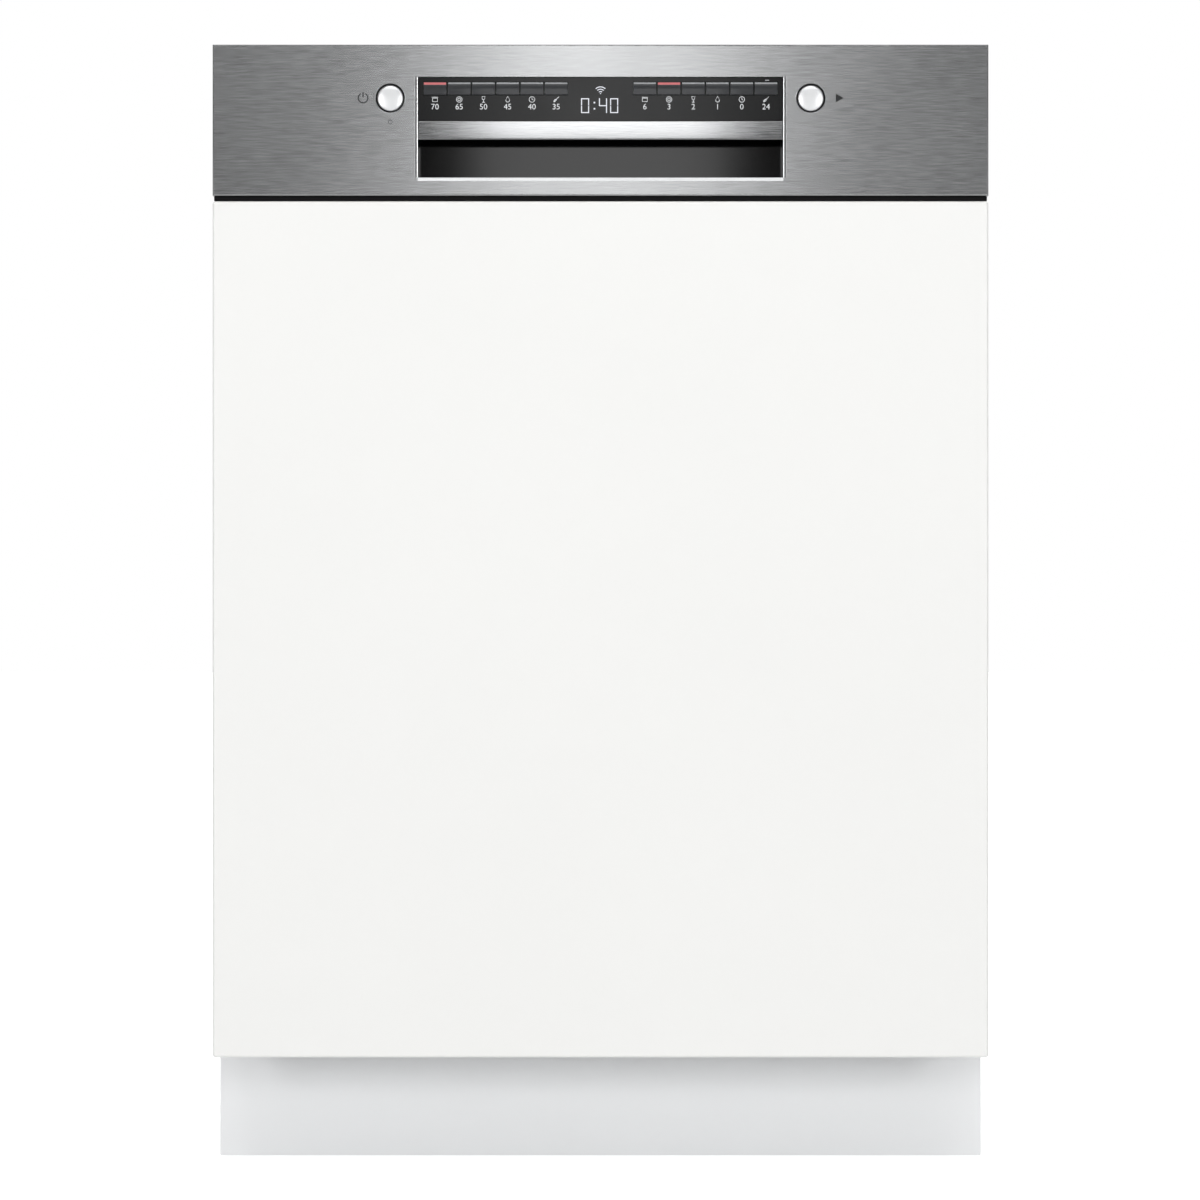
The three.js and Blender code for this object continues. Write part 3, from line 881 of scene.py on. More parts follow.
class DISHWASHER_OT_fascia(bpy.types.Operator):
    """Adds the folded steel fascia with its recess and button holes"""

    bl_idname = "dishwasher.fascia"
    bl_label = "Steel fascia"

    def execute(self, context):
        front = context.scene.dishwasher_front
        low, high = limits("fascia")
        opening_low, opening_high = limits("grip_shell")[0], limits("display_panel")[1]
        half = opening_high[0]
        bottom, top = opening_low[2] + 1.9, opening_high[2] + 0.2
        sheet = 1.5
        shell = shape_of(add_slab, low, high)
        round_sharp(
            shell, front.steel_round, 3, keep=lambda e: all(v.co.y < low[1] + 1 for v in e.verts)
        )
        hollow = shape_of(add_slab, (low[0] + sheet, low[1] + sheet, low[2] + sheet),
                          (high[0] - sheet, high[1] + 5, high[2] - sheet))
        slot = shape_of(add_slab, (-half, low[1] - 5, bottom), (half, low[1] + 5, top))
        rims = [self.flare(low[1], half, bottom, top, front.recess_rim, 0.9, 0.0),
                self.flare(low[1], half, bottom, top, 0.0, 1.4, front.recess_rim)]
        holes = []
        for node in ("power_button", "start_button"):
            button_low, button_high = limits(node)
            middle = (button_low + button_high) / 2
            radius = (button_high[0] - button_low[0]) / 2 + 1.1
            holes.append(
                shape_of(
                    add_drum, "y", (middle[0], middle[2]), radius, low[1] - 2, low[1] + 4, sides=64,
                )
            )
            holes.append(
                shape_of(
                    add_drum, "y", (middle[0], middle[2]), radius + 1.8, low[1] - 1.4, low[1] + 1.0,
                    sides=64, end_radius=radius - 0.3,
                )
            )
        shell = carve(shell, hollow, slot, *rims, *holes)
        settle(
            "fascia_sheet", shell, FINISHES["steel"], "door", ("fascia",),
            smooth=25,
        )
        board_top = limits("furniture_panel")[1][2]
        # Painted shade: a matt black strip fills the gap between the fascia and the door board,
        # standing in for the shade in that gap.
        shade_piece = shape_of(
            add_slab, (low[0] + 1, low[1] + 2.5, board_top + 0.3),
            (high[0] - 1, low[1] + 18, low[2] - 0.3), 0.4, 2,
        )
        settle("gap_shade_filler", shade_piece, FINISHES["gap_shade_black"], "door")
        return {"FINISHED"}

    def flare(self, face, half, bottom, top, side_width, depth, sill_width):
        """A bevel cut round the recess: a block of a depth that widens to its sides or its sill."""
        bm = shape_of(add_slab, (-half, face - depth, bottom), (half, face + depth, top))
        for vert in bm.verts:
            if vert.co.y < face:
                vert.co.x += math.copysign(side_width * 2, vert.co.x)
                if vert.co.z < top - 1:
                    vert.co.z -= sill_width * 2
        return bm


class DISHWASHER_OT_boards(bpy.types.Operator):
    """Adds the lacquered door board and the set-back plinth board"""

    bl_idname = "dishwasher.boards"
    bl_label = "Door board and plinth"

    def execute(self, context):
        front = context.scene.dishwasher_front
        low, high = limits("furniture_panel")
        door = shape_of(add_slab, low, high, front.board_round, 4)
        settle(
            "door_board", door, FINISHES["front_white"], "door",
            ("furniture_panel",),
        )
        low, high = limits("plinth")
        plinth = shape_of(add_slab, low, high, 0.8, 3)
        settle(
            "plinth_board", plinth, FINISHES["plinth_white"], "chassis",
            ("plinth",),
        )
        return {"FINISHED"}


def arc(centre, radius, start, end, steps=16):
    """Points (u, v) on an arc, with angles in degrees counted from +u towards +v."""
    angles = [math.radians(start + (end - start) * step / steps) for step in range(steps + 1)]
    return [(centre[0] + radius * math.cos(a), centre[1] + radius * math.sin(a)) for a in angles]


def print_strokes(name, strokes, face, width, finish, body="door"):
    """Prints strokes, each a list of (x, z) points, as a thin film on an upright face at y = face.
    """
    paths = [([(x, face, z) for x, z in stroke], False) for stroke in strokes]
    film = wire_mesh(paths, width, sides=1)
    flatten_onto(film, face)
    return settle(name, film, finish, body)


def flatten_onto(bm, face, film=0.05):
    """Presses a shape into a thin film that stands just proud of the face at y = face."""
    deepest = max(abs(vert.co.y - face) for vert in bm.verts)
    for vert in bm.verts:
        vert.co.y = face + (vert.co.y - face) / deepest * film


def lettering(text, size, centre, face):
    """A thin film of numbers or signs, centred on (x, z) on an upright face at y = face."""
    curve = bpy.data.curves.new("figures", "FONT")
    curve.body = text
    curve.size = size
    curve.align_x, curve.align_y = "CENTER", "CENTER"
    curve.extrude = 0.04
    curve.resolution_u = 3
    holder = bpy.data.objects.new("figures", curve)
    bpy.context.scene.collection.objects.link(holder)
    bpy.context.view_layer.update()
    mesh = bpy.data.meshes.new_from_object(
        holder.evaluated_get(bpy.context.evaluated_depsgraph_get())
    )
    bm = bmesh.new()
    bm.from_mesh(mesh)
    bpy.data.objects.remove(holder)
    bpy.data.curves.remove(curve)
    bpy.data.meshes.remove(mesh)
    upright = Matrix.Translation(
        (centre[0], face, centre[1])
    ) @ Matrix.Rotation(math.radians(90), 4, "X")
    bmesh.ops.transform(bm, matrix=upright, verts=bm.verts)
    return bm


def merged(shapes):
    """One bmesh holding several, which are used up."""
    whole = bmesh.new()
    for shape in shapes:
        mesh = bpy.data.meshes.new("part")
        shape.to_mesh(mesh)
        shape.free()
        whole.from_mesh(mesh)
        bpy.data.meshes.remove(mesh)
    return whole


# Strokes of the programme pictograms, from -1 to 1: pot, plate, glass, drop, clock and leaf.
PICTOGRAMS = [
    [[(-0.8, 0.4), (-0.8, -0.7), (0.8, -0.7), (0.8, 0.4), (-0.8, 0.4)], [(-1.0, 0.7), (1.0, 0.7)]],
    [arc((0, 0), 0.9, 0, 360), arc((0, 0), 0.45, 0, 360)],
    [
        [(-0.5, 0.9), (-0.35, 0.0), (0.35, 0.0), (0.5, 0.9), (-0.5, 0.9)], [(0, 0), (0, -0.9)],
        [(-0.45, -0.9), (0.45, -0.9)],
    ],
    [[(0, 1.0), (-0.55, 0.0), *arc((0, -0.25), 0.6, 155, 385), (0.55, 0.0), (0, 1.0)]],
    [arc((0, 0), 0.9, 0, 360), [(0, 0.6), (0, 0), (0.45, -0.2)]],
    [
        [
            (-0.8, -0.8), *arc((0.1, -0.8), 0.9, 180, 90, 8), (0.9, 0.9),
            *arc((-0.8, 0.1), 0.9, 0, -90, 8),
        ],
        [(-0.8, -0.8), (0.4, 0.4)],
    ],
]
DEGREES = ["70", "65", "50", "45", "40", "35"]
HOLD_TIMES = ["6", "3", "2", "1", "0", "24"]
# Lit bars of a figure: top, upper left, upper right, middle, lower left, lower right, bottom.
SEGMENTS = {"0": "1110111", "4": "0111010"}


class DISHWASHER_OT_display(bpy.types.Operator):
    """Adds the black display panel, its keys, lamps, figures and pictograms"""

    bl_idname = "dishwasher.display"
    bl_label = "Display and keys"

    def execute(self, context):
        keys = sorted(name for name in frame["nodes"] if name.startswith("key_"))
        low, high = limits("display_panel")
        panel = shape_of(add_slab, low, high)
        holes = []
        for key in keys:
            key_low, key_high = limits(key)
            holes.append(shape_of(
                add_slab, (key_low[0] - 0.3, low[1] - 2, key_low[2] - 0.3),
                (key_high[0] + 0.3, high[1] + 2, key_high[2] + 0.3)))
        panel = carve(panel, *holes)
        settle(
            "display_cover", panel, FINISHES["gloss_black"], "door",
            ("display_panel",), smooth=25,
        )
        for key in keys:
            self.add_key(key)
        face = low[1]
        for key in keys:
            self.add_line(key, lit=key in (keys[0], keys[7]))
        self.add_labels(keys, face)
        self.add_figures(face)
        return {"FINISHED"}

    def add_key(self, key):
        """One rocker-shaped key: its face curves back to the top edge, where it catches the light.
        """
        low, high = limits(key)
        steps = 8
        height = high[2] - low[2] - 0.5
        curved = [(low[1] + 1.6 * (step / steps) ** 3, low[2] + 0.5 + height * step / steps)
                  for step in range(steps + 1)]
        outline = [(high[1], low[2]), (low[1] + 0.4, low[2]), *curved, (high[1], high[2])]
        bm = shape_of(add_prism, outline, low[0], high[0], axis="x")
        round_sharp(bm, 0.25, 2, angle=50)
        settle(f"{key}_cap", bm, FINISHES["key_black"], key, (key,), smooth=30)

    def add_line(self, key, lit):
        """The line along the top of a key: satin grey, or glowing red on the two chosen keys."""
        low, high = limits(key)
        deep = 1.9 if lit else 1.3
        bm = shape_of(
            add_slab, (low[0] + 0.3, low[1] + 0.75, high[2] - deep),
            (high[0] - 0.3, low[1] + 2.2, high[2] - 0.15), 0.15,
        )
        settle(f"{key}_line", bm, FINISHES["red_lamp" if lit else "key_line"], key)

    def add_labels(self, keys, face):
        """A pictogram and a number under each key, and the small marks beside them."""
        strokes, numbers = [], []
        upper, lower = 8.4, 14.2
        for index, key in enumerate(keys):
            low, high = limits(key)
            x = (low[0] + high[0]) / 2
            picture = PICTOGRAMS[index % len(PICTOGRAMS)]
            height = low[2] + 4.9 - upper
            strokes += [[(x + 2.4 * u, height + 2.4 * v) for u, v in stroke] for stroke in picture]
            text = (DEGREES + HOLD_TIMES)[index]
            numbers.append(lettering(text, 6.2, (x, low[2] + 4.9 - lower), face))
        _, last_high = limits(keys[-1])
        strokes.append(
            [(last_high[0] - 9.5, last_high[2] + 1.6), (last_high[0] - 6.5, last_high[2] + 1.6)]
        )
        print_strokes("key_pictograms", strokes, face, 0.5, FINISHES["print"])
        film = merged(numbers)
        flatten_onto(film, face)
        settle("key_numbers", film, FINISHES["print"], "door")

    def add_figures(self, face):
        """The seven-segment time, and the signal sign above it."""
        low, high = limits("display_panel")
        base, tall, wide, bar = low[2] + 5.6, 11.8, 6.6, 1.15
        bars = bmesh.new()
        for figure, left in (("0", -15.2), ("4", -1.4), ("0", 7.2)):
            places = [
                ((0, tall - bar), (wide, tall)), ((0, tall / 2), (bar, tall)),
                ((wide - bar, tall / 2), (wide, tall)),
                ((0, tall / 2 - bar / 2), (wide, tall / 2 + bar / 2)), ((0, 0), (bar, tall / 2)),
                ((wide - bar, 0), (wide, tall / 2)), ((0, 0), (wide, bar)),
            ]
            for lit, (start, end) in zip(SEGMENTS[figure], places):
                if lit == "1":
                    add_slab(bars, (left + start[0] + 0.2, face - 0.04, base + start[1] + 0.2),
                             (left + end[0] - 0.2, face + 0.3, base + end[1] - 0.2))
        for height in (0.3, 0.7):
            add_slab(
                bars, (-5.3, face - 0.04, base + tall * height - 0.6),
                (-4.1, face + 0.3, base + tall * height + 0.6),
            )
        settle("time_figures", bars, FINISHES["digits"], "door")
        sign = (0.0, high[2] - 12.6)
        arcs = [arc(sign, radius, 45, 135) for radius in (1.6, 3.4, 5.2)]
        arcs.append([(-0.4, sign[1]), (0.4, sign[1])])
        print_strokes("signal_sign", arcs, face, 0.75, FINISHES["digits"])


class DISHWASHER_OT_grip(bpy.types.Operator):
    """Adds the dark hand recess and the silver strip above it"""

    bl_idname = "dishwasher.grip"
    bl_label = "Hand recess and strip"

    def execute(self, context):
        low, high = limits("grip_shell")
        strip_low, strip_high = limits("handle_strip")
        wall = 2.0
        shell = shape_of(add_slab, low, high)
        cavity = shape_of(
            add_slab, (low[0] + wall, low[1] - 20, low[2] + wall),
            (high[0] - wall, high[1] - wall, high[2] - wall),
        )
        round_sharp(cavity, 2.5, 4, keep=lambda e: all(v.co.y > high[1] - wall - 1 for v in e.verts)
                    and abs(e.verts[0].co.z - e.verts[1].co.z) < 1)
        mouth = shape_of(add_slab, (low[0] + wall, low[1] - 5, strip_low[2] - 1),
                         (high[0] - wall, low[1] + 6, high[2] + 2))
        shell = carve(shell, cavity, mouth)
        settle(
            "hand_recess", shell, FINISHES["recess_black"], "door", ("grip_shell",),
            smooth=30,
        )
        depth = strip_high[1] - strip_low[1]
        height = strip_high[2] - strip_low[2]
        steps = 10
        crown = 0.12
        curved = [
            (
                strip_low[1] + crown * (2 * step / steps - 1) ** 2,
                strip_low[2] + height * step / steps,
            ) for step in range(steps + 1)
        ]
        outline = [
            (strip_low[1] + depth, strip_low[2]), *curved, (strip_low[1] + depth, strip_high[2]),
        ]
        bm = shape_of(add_prism, outline, strip_low[0], strip_high[0], axis="x")
        round_sharp(bm, 0.45, 3, angle=50)
        settle(
            "silver_strip", bm, FINISHES["silver"], "door", ("handle_strip",),
            smooth=40,
        )
        return {"FINISHED"}


class DISHWASHER_OT_round_buttons(bpy.types.Operator):
    """Adds the two round buttons, their wells and the signs beside them"""

    bl_idname = "dishwasher.round_buttons"
    bl_label = "Round buttons"

    def execute(self, context):
        face = CAD_BOX[0][1] / MM
        for node in ("power_button", "start_button"):
            low, high = limits(node)
            centre = ((low[0] + high[0]) / 2, (low[2] + high[2]) / 2)
            radius = (high[0] - low[0]) / 2
            near, far = low[1], high[1]
            cap = shape_of(
                add_turned, "y", centre,
                [
                    (0, near), (radius * 0.3, near + 0.1), (radius * 0.55, near + 0.35),
                    (radius * 0.75, near + 0.75), (radius * 0.9, near + 1.3),
                    (radius * 0.97, near + 1.8), (radius, near + 2.6), (radius, far), (0, far),
                ],
                steps=72,
            )
            settle(
                f"{node}_cap", cap, FINISHES["button_silver"], node, (node,),
                smooth=60,
            )
            outer, inner = radius + 1.0, radius + 0.35
            well = shape_of(add_turned, "y", centre, [
                (inner, near + 1.5), (outer, near + 1.5), (outer, far + 3.6), (0, far + 3.6),
                (0, far + 2.5), (inner, far + 2.5), (inner, near + 1.5),
            ], steps=72)
            settle(f"{node}_well", well, FINISHES["gloss_black"], "door", smooth=40)
        power_low, power_high = limits("power_button")
        height = (power_low[2] + power_high[2]) / 2
        x = power_low[0] - 10.7
        signs = [arc((x, height), 3.7, 118, 422, 24), [(x, height + 0.6), (x, height + 4.6)]]
        print_strokes("power_sign", signs, face, 0.95, FINISHES["print_dark"])
        x = -x + 0.9
        triangle = shape_of(
            add_prism, [(x - 2.6, height - 3.4), (x + 3.4, height), (x - 2.6, height + 3.4)],
            face - 0.05, face + 0.2, axis="y",
        )
        settle("start_sign", triangle, FINISHES["print_dark"], "door")
        drop_x, drop_z = (power_low[0] + power_high[0]) / 2, power_low[2] - 8.3
        print_strokes(
            "lock_sign", [arc((drop_x, drop_z), 1.5, 0, 360)], face, 0.5, FINISHES["print_dark"],
        )
        return {"FINISHED"}


# ---------------------------------------------------------------- inside of the door


class DISHWASHER_OT_door_inside(bpy.types.Operator):
    """Adds the liner, the outer sheet, the control housing and the dispenser with its lid and cap
    """

    bl_idname = "dishwasher.door_inside"
    bl_label = "Inside of the door"

    def execute(self, context):
        self.add_liner()
        self.add_outer_sheet()
        self.add_housing()
        self.add_dispenser()
        self.add_lid()
        self.add_rinse_aid_cap()
        return {"FINISHED"}

    def add_liner(self):
        """The stainless inner sheet: folded sides, raised rim and a field behind the dispenser."""
        low, high = limits("door_liner")
        body_low, body_high = limits("dispenser_body")
        sheet = 1.5
        fold = 2.0
        tray = shape_of(add_slab, low, high)
        round_sharp(tray, fold, 3, keep=lambda e: all(v.co.y > high[1] - 1 for v in e.verts))
        hollow = shape_of(
            add_slab, (low[0] + sheet, low[1] - 1, low[2] - 9),
            (high[0] - sheet, high[1] - 2, high[2] - sheet),
        )
        housing_low = limits("control_housing")[0]
        behind = shape_of(
            add_slab, (low[0] - 9, low[1] - 9, housing_low[2] - 0.5),
            (high[0] + 9, high[1] - 3.7, high[2] + 1),
        )
        window = shape_of(add_slab, (body_low[0] - 0.3, low[1] - 5, body_low[2] - 0.3),
                          (body_high[0] + 0.3, high[1] + 5, body_high[2] + 0.3))
        beads = []
        for bottom, top in (
            (low[2] + 60, body_low[2] - 40), (body_high[2] + 40, housing_low[2] - 30),
        ):
            bead = shape_of(
                add_slab, (low[0] + 62, high[1] - 0.9, bottom), (high[0] - 62, high[1] + 5, top),
            )
            round_sharp(bead, 18, 5, keep=lambda e: abs(e.verts[0].co.y - e.verts[1].co.y) > 1)
            beads.append(bead)
        tray = carve(tray, hollow, behind, window, *beads)
        settle(
            "inner_door_sheet", tray, FINISHES["tub_steel"], "door", ("door_liner",),
            smooth=40,
        )
        screws = bmesh.new()
        for side in (-1, 1):
            for height in (low[2] + 40, 330, 560, 720):
                add_screw_head(screws, "y", (side * (high[0] - 14), height), high[1], 1)
        settle("liner_screws", screws, FINISHES["bright_rim"], "door")

    def add_outer_sheet(self):
        """The zinc-coated tray that carries the furniture board."""
        low, high = limits("door_outer_sheet")
        tray = shape_of(add_slab, low, high)
        round_sharp(tray, 1.2, 2, keep=lambda e: all(v.co.y < low[1] + 1 for v in e.verts))
        hollow = shape_of(
            add_slab, (low[0] + 1.5, low[1] + 1.5, low[2] + 1.5),
            (high[0] - 1.5, high[1] + 9, high[2] - 1.5),
        )
        settle(
            "outer_door_tray", carve(tray, hollow), FINISHES["zinc"], "door",
            ("door_outer_sheet",),
        )

    def add_housing(self):
        """The black box behind the fascia, with its vent slots on top."""
        low, high = limits("control_housing")
        box = shape_of(add_slab, low, high)
        round_sharp(box, 2.5, 3, keep=lambda e: all(v.co.y > high[1] - 1 for v in e.verts))
        hollow = shape_of(
            add_slab, (low[0] + 2.5, low[1] - 9, low[2] + 2.5),
            (high[0] - 2.5, high[1] - 2.5, high[2] - 2.5),
        )
        notch = shape_of(add_slab, (-14, high[1] - 4, high[2] - 13), (14, high[1] + 3, high[2] + 1))
        slots = [
            shape_of(
                add_slab, (x - 2, low[1] + 12, high[2] - 4), (x + 2, low[1] + 32, high[2] + 3),
            ) for side in (-1, 1) for x in [side * (150 + 9 * step) for step in range(9)]
        ]
        box = carve(box, hollow, notch, *slots)
        settle("control_box", box, FINISHES["black"], "door", ("control_housing",))

    def add_dispenser(self):
        """The dispenser's frame with its detergent chamber, a round filler opening and the lens of
        a level window.
        """
        low, high = limits("dispenser_body")
        lid_low, lid_high = limits("dispenser_lid")
        cap_low, cap_high = limits("rinse_aid_cap")
        body = shape_of(add_slab, low, high, 2.2, 3)
        chamber = shape_of(
            add_slab, (lid_low[0] + 4, low[1] + 6, lid_low[2] + 6),
            (lid_high[0] - 4, high[1] + 9, lid_high[2] - 5), 7, 4,
        )
        centre = ((cap_low[0] + cap_high[0]) / 2, (cap_low[2] + cap_high[2]) / 2)
        filler = shape_of(add_drum, "y", centre, 12.0, low[1] + 8, high[1] + 9)
        window = shape_of(add_drum, "y", (centre[0], low[2] + 26), 7.0, high[1] - 1.2, high[1] + 3)
        body = carve(body, chamber, filler, window)
        settle(
            "dispenser_frame", body, FINISHES["pale"], "door", ("dispenser_body",),
        )
        lens = shape_of(
            add_drum, "y", (centre[0], low[2] + 26), 6.6, high[1] - 1.1, high[1] - 0.3, bevel=0.3,
        )
        settle("rinse_aid_lens", lens, FINISHES["window"], "door")

    def add_lid(self):
        """The sliding lid with finger ribs."""
        low, high = limits("dispenser_lid")
        lid = shape_of(add_slab, (low[0], low[1], low[2]), (high[0], low[1] + 2.2, high[2]), 1.0, 3)
        for rib in range(5):
            bottom = low[2] + 9 + rib * 4.2
            add_slab(
                lid, (low[0] + 16, low[1] + 1.8, bottom),
                (high[0] - 16, high[1] - 0.4, bottom + 2.0), 0.7, 2,
            )
        settle(
            "dispenser_cover", lid, FINISHES["blue_grey"], "dispenser_lid",
            ("dispenser_lid",),
        )

    def add_rinse_aid_cap(self):
        """The round cap with its grip bar."""
        low, high = limits("rinse_aid_cap")
        centre = ((low[0] + high[0]) / 2, (low[2] + high[2]) / 2)
        radius = (high[0] - low[0]) / 2
        face = high[1]
        cap = shape_of(
            add_turned, "y", centre,
            [
                (0, low[1] + 1), (11, low[1] + 1), (11, face - 6.2), (radius, face - 6.2),
                (radius, face - 4.2), (radius - 1.4, face - 3.4), (radius - 5, face - 3.2),
                (0, face - 3.6),
            ],
            steps=48,
        )
        add_slab(
            cap, (centre[0] - 13, face - 4.4, centre[1] - 2.5),
            (centre[0] + 13, face, centre[1] + 2.5), 1.2, 3,
        )
        settle(
            "rinse_aid_turn_cap", cap, FINISHES["blue_grey"], "rinse_aid_cap",
            ("rinse_aid_cap",),
        )


def add_screw_head(bm, axis, centre, face, out):
    """A low domed screw head with a cross-drive pit, on a face, rising along +axis or -axis."""
    heights = [0.0, 0.9, 1.3, 1.3, 0.6, 0.6]
    radii = [3.8, 3.6, 2.2, 1.3, 1.0, 0.0]
    profile = [(radius, face + out * height) for radius, height in zip(radii, heights)]
    add_turned(
        bm, axis, centre, [(0.0, face - out * 0.2), (3.8, face - out * 0.2), *profile], steps=20,
    )


# ---------------------------------------------------------------- tub


class DISHWASHER_OT_tub(bpy.types.Operator):
    """Adds the stainless tub, its floor, rails and door seal"""

    bl_idname = "dishwasher.tub"
    bl_label = "Tub"

    def execute(self, context):
        self.add_wrap()
        self.add_rear_wall()
        self.add_floor()
        self.add_rails()
        self.add_seal()
        return {"FINISHED"}

    def add_wrap(self):
        """The tub's sides and top in one bent sheet, with beads, drawer ledges and a flange."""
        low, high = limits("tub_wrap")
        half = limits("tub_rear_wall")[1][0]
        inside = half - 2.0
        ceiling = limits("tub_rear_wall")[1][2]
        front = low[1] + 2
        outer = shape_of(add_slab, (-half, front, low[2]), (half, high[1], ceiling))
        round_sharp(
            outer, 9, 5,
            keep=lambda e: all(
                v.co.z > ceiling - 1 for v in e.verts
            ) and abs(e.verts[0].co.y - e.verts[1].co.y) > 9
        )
        inner = shape_of(
            add_slab, (-inside, front - 9, low[2] - 9), (inside, high[1] + 9, ceiling - 2),
        )
        round_sharp(
            inner, 7, 5,
            keep=lambda e: all(
                v.co.z > ceiling - 3 for v in e.verts
            ) and abs(e.verts[0].co.y - e.verts[1].co.y) > 9
        )
        wrap = carve(outer, inner)
        flange = shape_of(add_slab, (low[0], low[1], 124), (high[0], front, high[2]))
        mouth = shape_of(add_slab, (-half + 1, low[1] - 9, 90), (half - 1, front + 9, ceiling - 1))
        flange = carve(flange, mouth)
        details = []
        for side in (-1, 1):
            for bottom, top in ((170, 190), (345, 365), (500, 512)):
                bead = bmesh.new()
                near, far = sorted((side * (inside + 0.3), side * (inside - 2.2)))
                add_slab(bead, (near, front + 34, bottom), (far, high[1] - 30, top), 2.0, 3)
                details.append(bead)
            near, far = sorted((side * (inside + 0.3), side * 263))
            ledge = shape_of(add_slab, (near, -190, 764), (far, 250, 768), 1.2, 2)
            details.append(ledge)
        settle(
            "tub_sheet", merged([wrap, flange, *details]), FINISHES["tub_steel"], "chassis",
            ("tub_wrap",), smooth=40,
        )

    def add_rear_wall(self):
        """The tub's back, with a pressed field and the riser pipe of the upper arm."""
        low, high = limits("tub_rear_wall")
        wall = embossed("y", low[1] + 0.6, (low[0], low[2]), (high[0], high[2]),
                        [(46, 0.0), (7, -3.5), (60, 0.0), (7, 2.0)], 1.2)
        settle(
            "tub_back_sheet", wall, FINISHES["tub_steel"], "chassis",
            ("tub_rear_wall",), smooth=60,
        )
        riser = shape_of(add_slab, (-14, low[1] - 9.5, 126), (14, low[1] - 3.2, 545), 3.0, 3)
        add_drum(riser, "y", (0, 540), 13, low[1] - 10.2, low[1] - 3.2, bevel=1.2)
        for height in (230, 400):
            add_slab(riser, (-22, low[1] - 8, height), (22, low[1] - 3.2, height + 14), 1.2, 2)
        settle("water_riser", riser, FINISHES["grey"], "chassis")

    def add_floor(self):
        """The tub floor, dished towards the filter, with the bearing of the lower arm."""
        low, high = limits("tub_floor")
        filter_low, filter_high = limits("filter_cylinder")
        salt_low, salt_high = limits("salt_cap")
        top = low[2] + 3
        plate = shape_of(add_slab, low, (high[0], high[1], top))
        filter_at = ((filter_low[0] + filter_high[0]) / 2, (filter_low[1] + filter_high[1]) / 2)
        salt_at = ((salt_low[0] + salt_high[0]) / 2, (salt_low[1] + salt_high[1]) / 2)
        holes = [
            shape_of(add_drum, "z", filter_at, 62, low[2] - 9, top + 9, sides=64),
            shape_of(add_drum, "z", filter_at, 82, top - 0.9, top + 9, sides=64, end_radius=100),
            shape_of(add_drum, "z", salt_at, 38, low[2] - 9, top + 9, sides=48),
            shape_of(add_drum, "z", salt_at, 48, top - 0.7, top + 9, sides=48, end_radius=60),
        ]
        plate = carve(plate, *holes)
        settle(
            "tub_floor_sheet", plate, FINISHES["tub_steel"], "chassis", ("tub_floor",),
            smooth=40,
        )
        arm_low, arm_high = limits("lower_spray_arm")
        centre = ((arm_low[0] + arm_high[0]) / 2, (arm_low[1] + arm_high[1]) / 2)
        post = shape_of(
            add_turned, "z", centre,
            [
                (0, top), (30, top), (28, top + 3), (19, top + 5), (15, top + 9),
                (14, high[2] - 1.5), (12.5, high[2]), (0, high[2]),
            ],
            steps=48,
        )
        settle("lower_arm_bearing", post, FINISHES["grey"], "chassis")
        coving = bmesh.new()
        for side in (-1, 1):
            foot = [
                (side * high[0], top), (side * (high[0] - 26), top),
                (side * (high[0] - 9), top + 6), (side * high[0], top + 24),
            ]
            add_prism(coving, foot, low[1] + 1, high[1] - 1, axis="y")
        back = [(high[1] - 26, top), (high[1], top), (high[1], top + 24), (high[1] - 9, top + 6)]
        add_prism(coving, back, low[0] + 1, high[0] - 1, axis="x")
        settle("floor_coving", coving, FINISHES["tub_steel"], "chassis")

    def add_rails(self):
        """The telescopic rails of the upper rack: channels open towards the middle."""
        for node in ("upper_rail_left", "upper_rail_right"):
            low, high = limits(node)
            side = math.copysign(1, low[0])
            rail = shape_of(add_slab, low, high, 1.2, 2)
            open_side = (low[0], low[0] + 6.6) if side > 0 else (high[0] - 6.6, high[0])
            slot = shape_of(add_slab, (open_side[0] - 3 * (side > 0), low[1] - 9, low[2] + 7),
                            (open_side[1] + 3 * (side < 0), high[1] + 9, high[2] - 7))
            rail = carve(rail, slot)
            settle(f"{node}_channel", rail, FINISHES["tub_steel"], "chassis", (node,))

    def add_seal(self):
        """The rubber seal: a hollow-looking bulb along three sides of the tub's mouth."""
        low, high = limits("door_seal")
        depth = high[1] - low[1]
        middle = (low[1] + high[1]) / 2
        inset = 5.0
        path = [(low[0] + inset, middle, low[2]), (low[0] + inset, middle, high[2] - inset),
                (high[0] - inset, middle, high[2] - inset), (high[0] - inset, middle, low[2])]
        bulb = wire_mesh([(rounded_path(path, 18, steps=6), False)], depth - 0.2, sides=4)
        carrier = shape_of(add_slab, (low[0], middle + 0.4, low[2]), (high[0], high[1], high[2]))
        mouth = shape_of(
            add_slab, (low[0] + 10, low[1] - 5, low[2] - 20),
            (high[0] - 10, high[1] + 5, high[2] - 9),
        )
        settle("seal_bulb", bulb, FINISHES["rubber"], "chassis", ("door_seal",))
        settle("seal_carrier", carve(carrier, mouth), FINISHES["rubber"], "chassis")


# ---------------------------------------------------------------- filter and spray arms


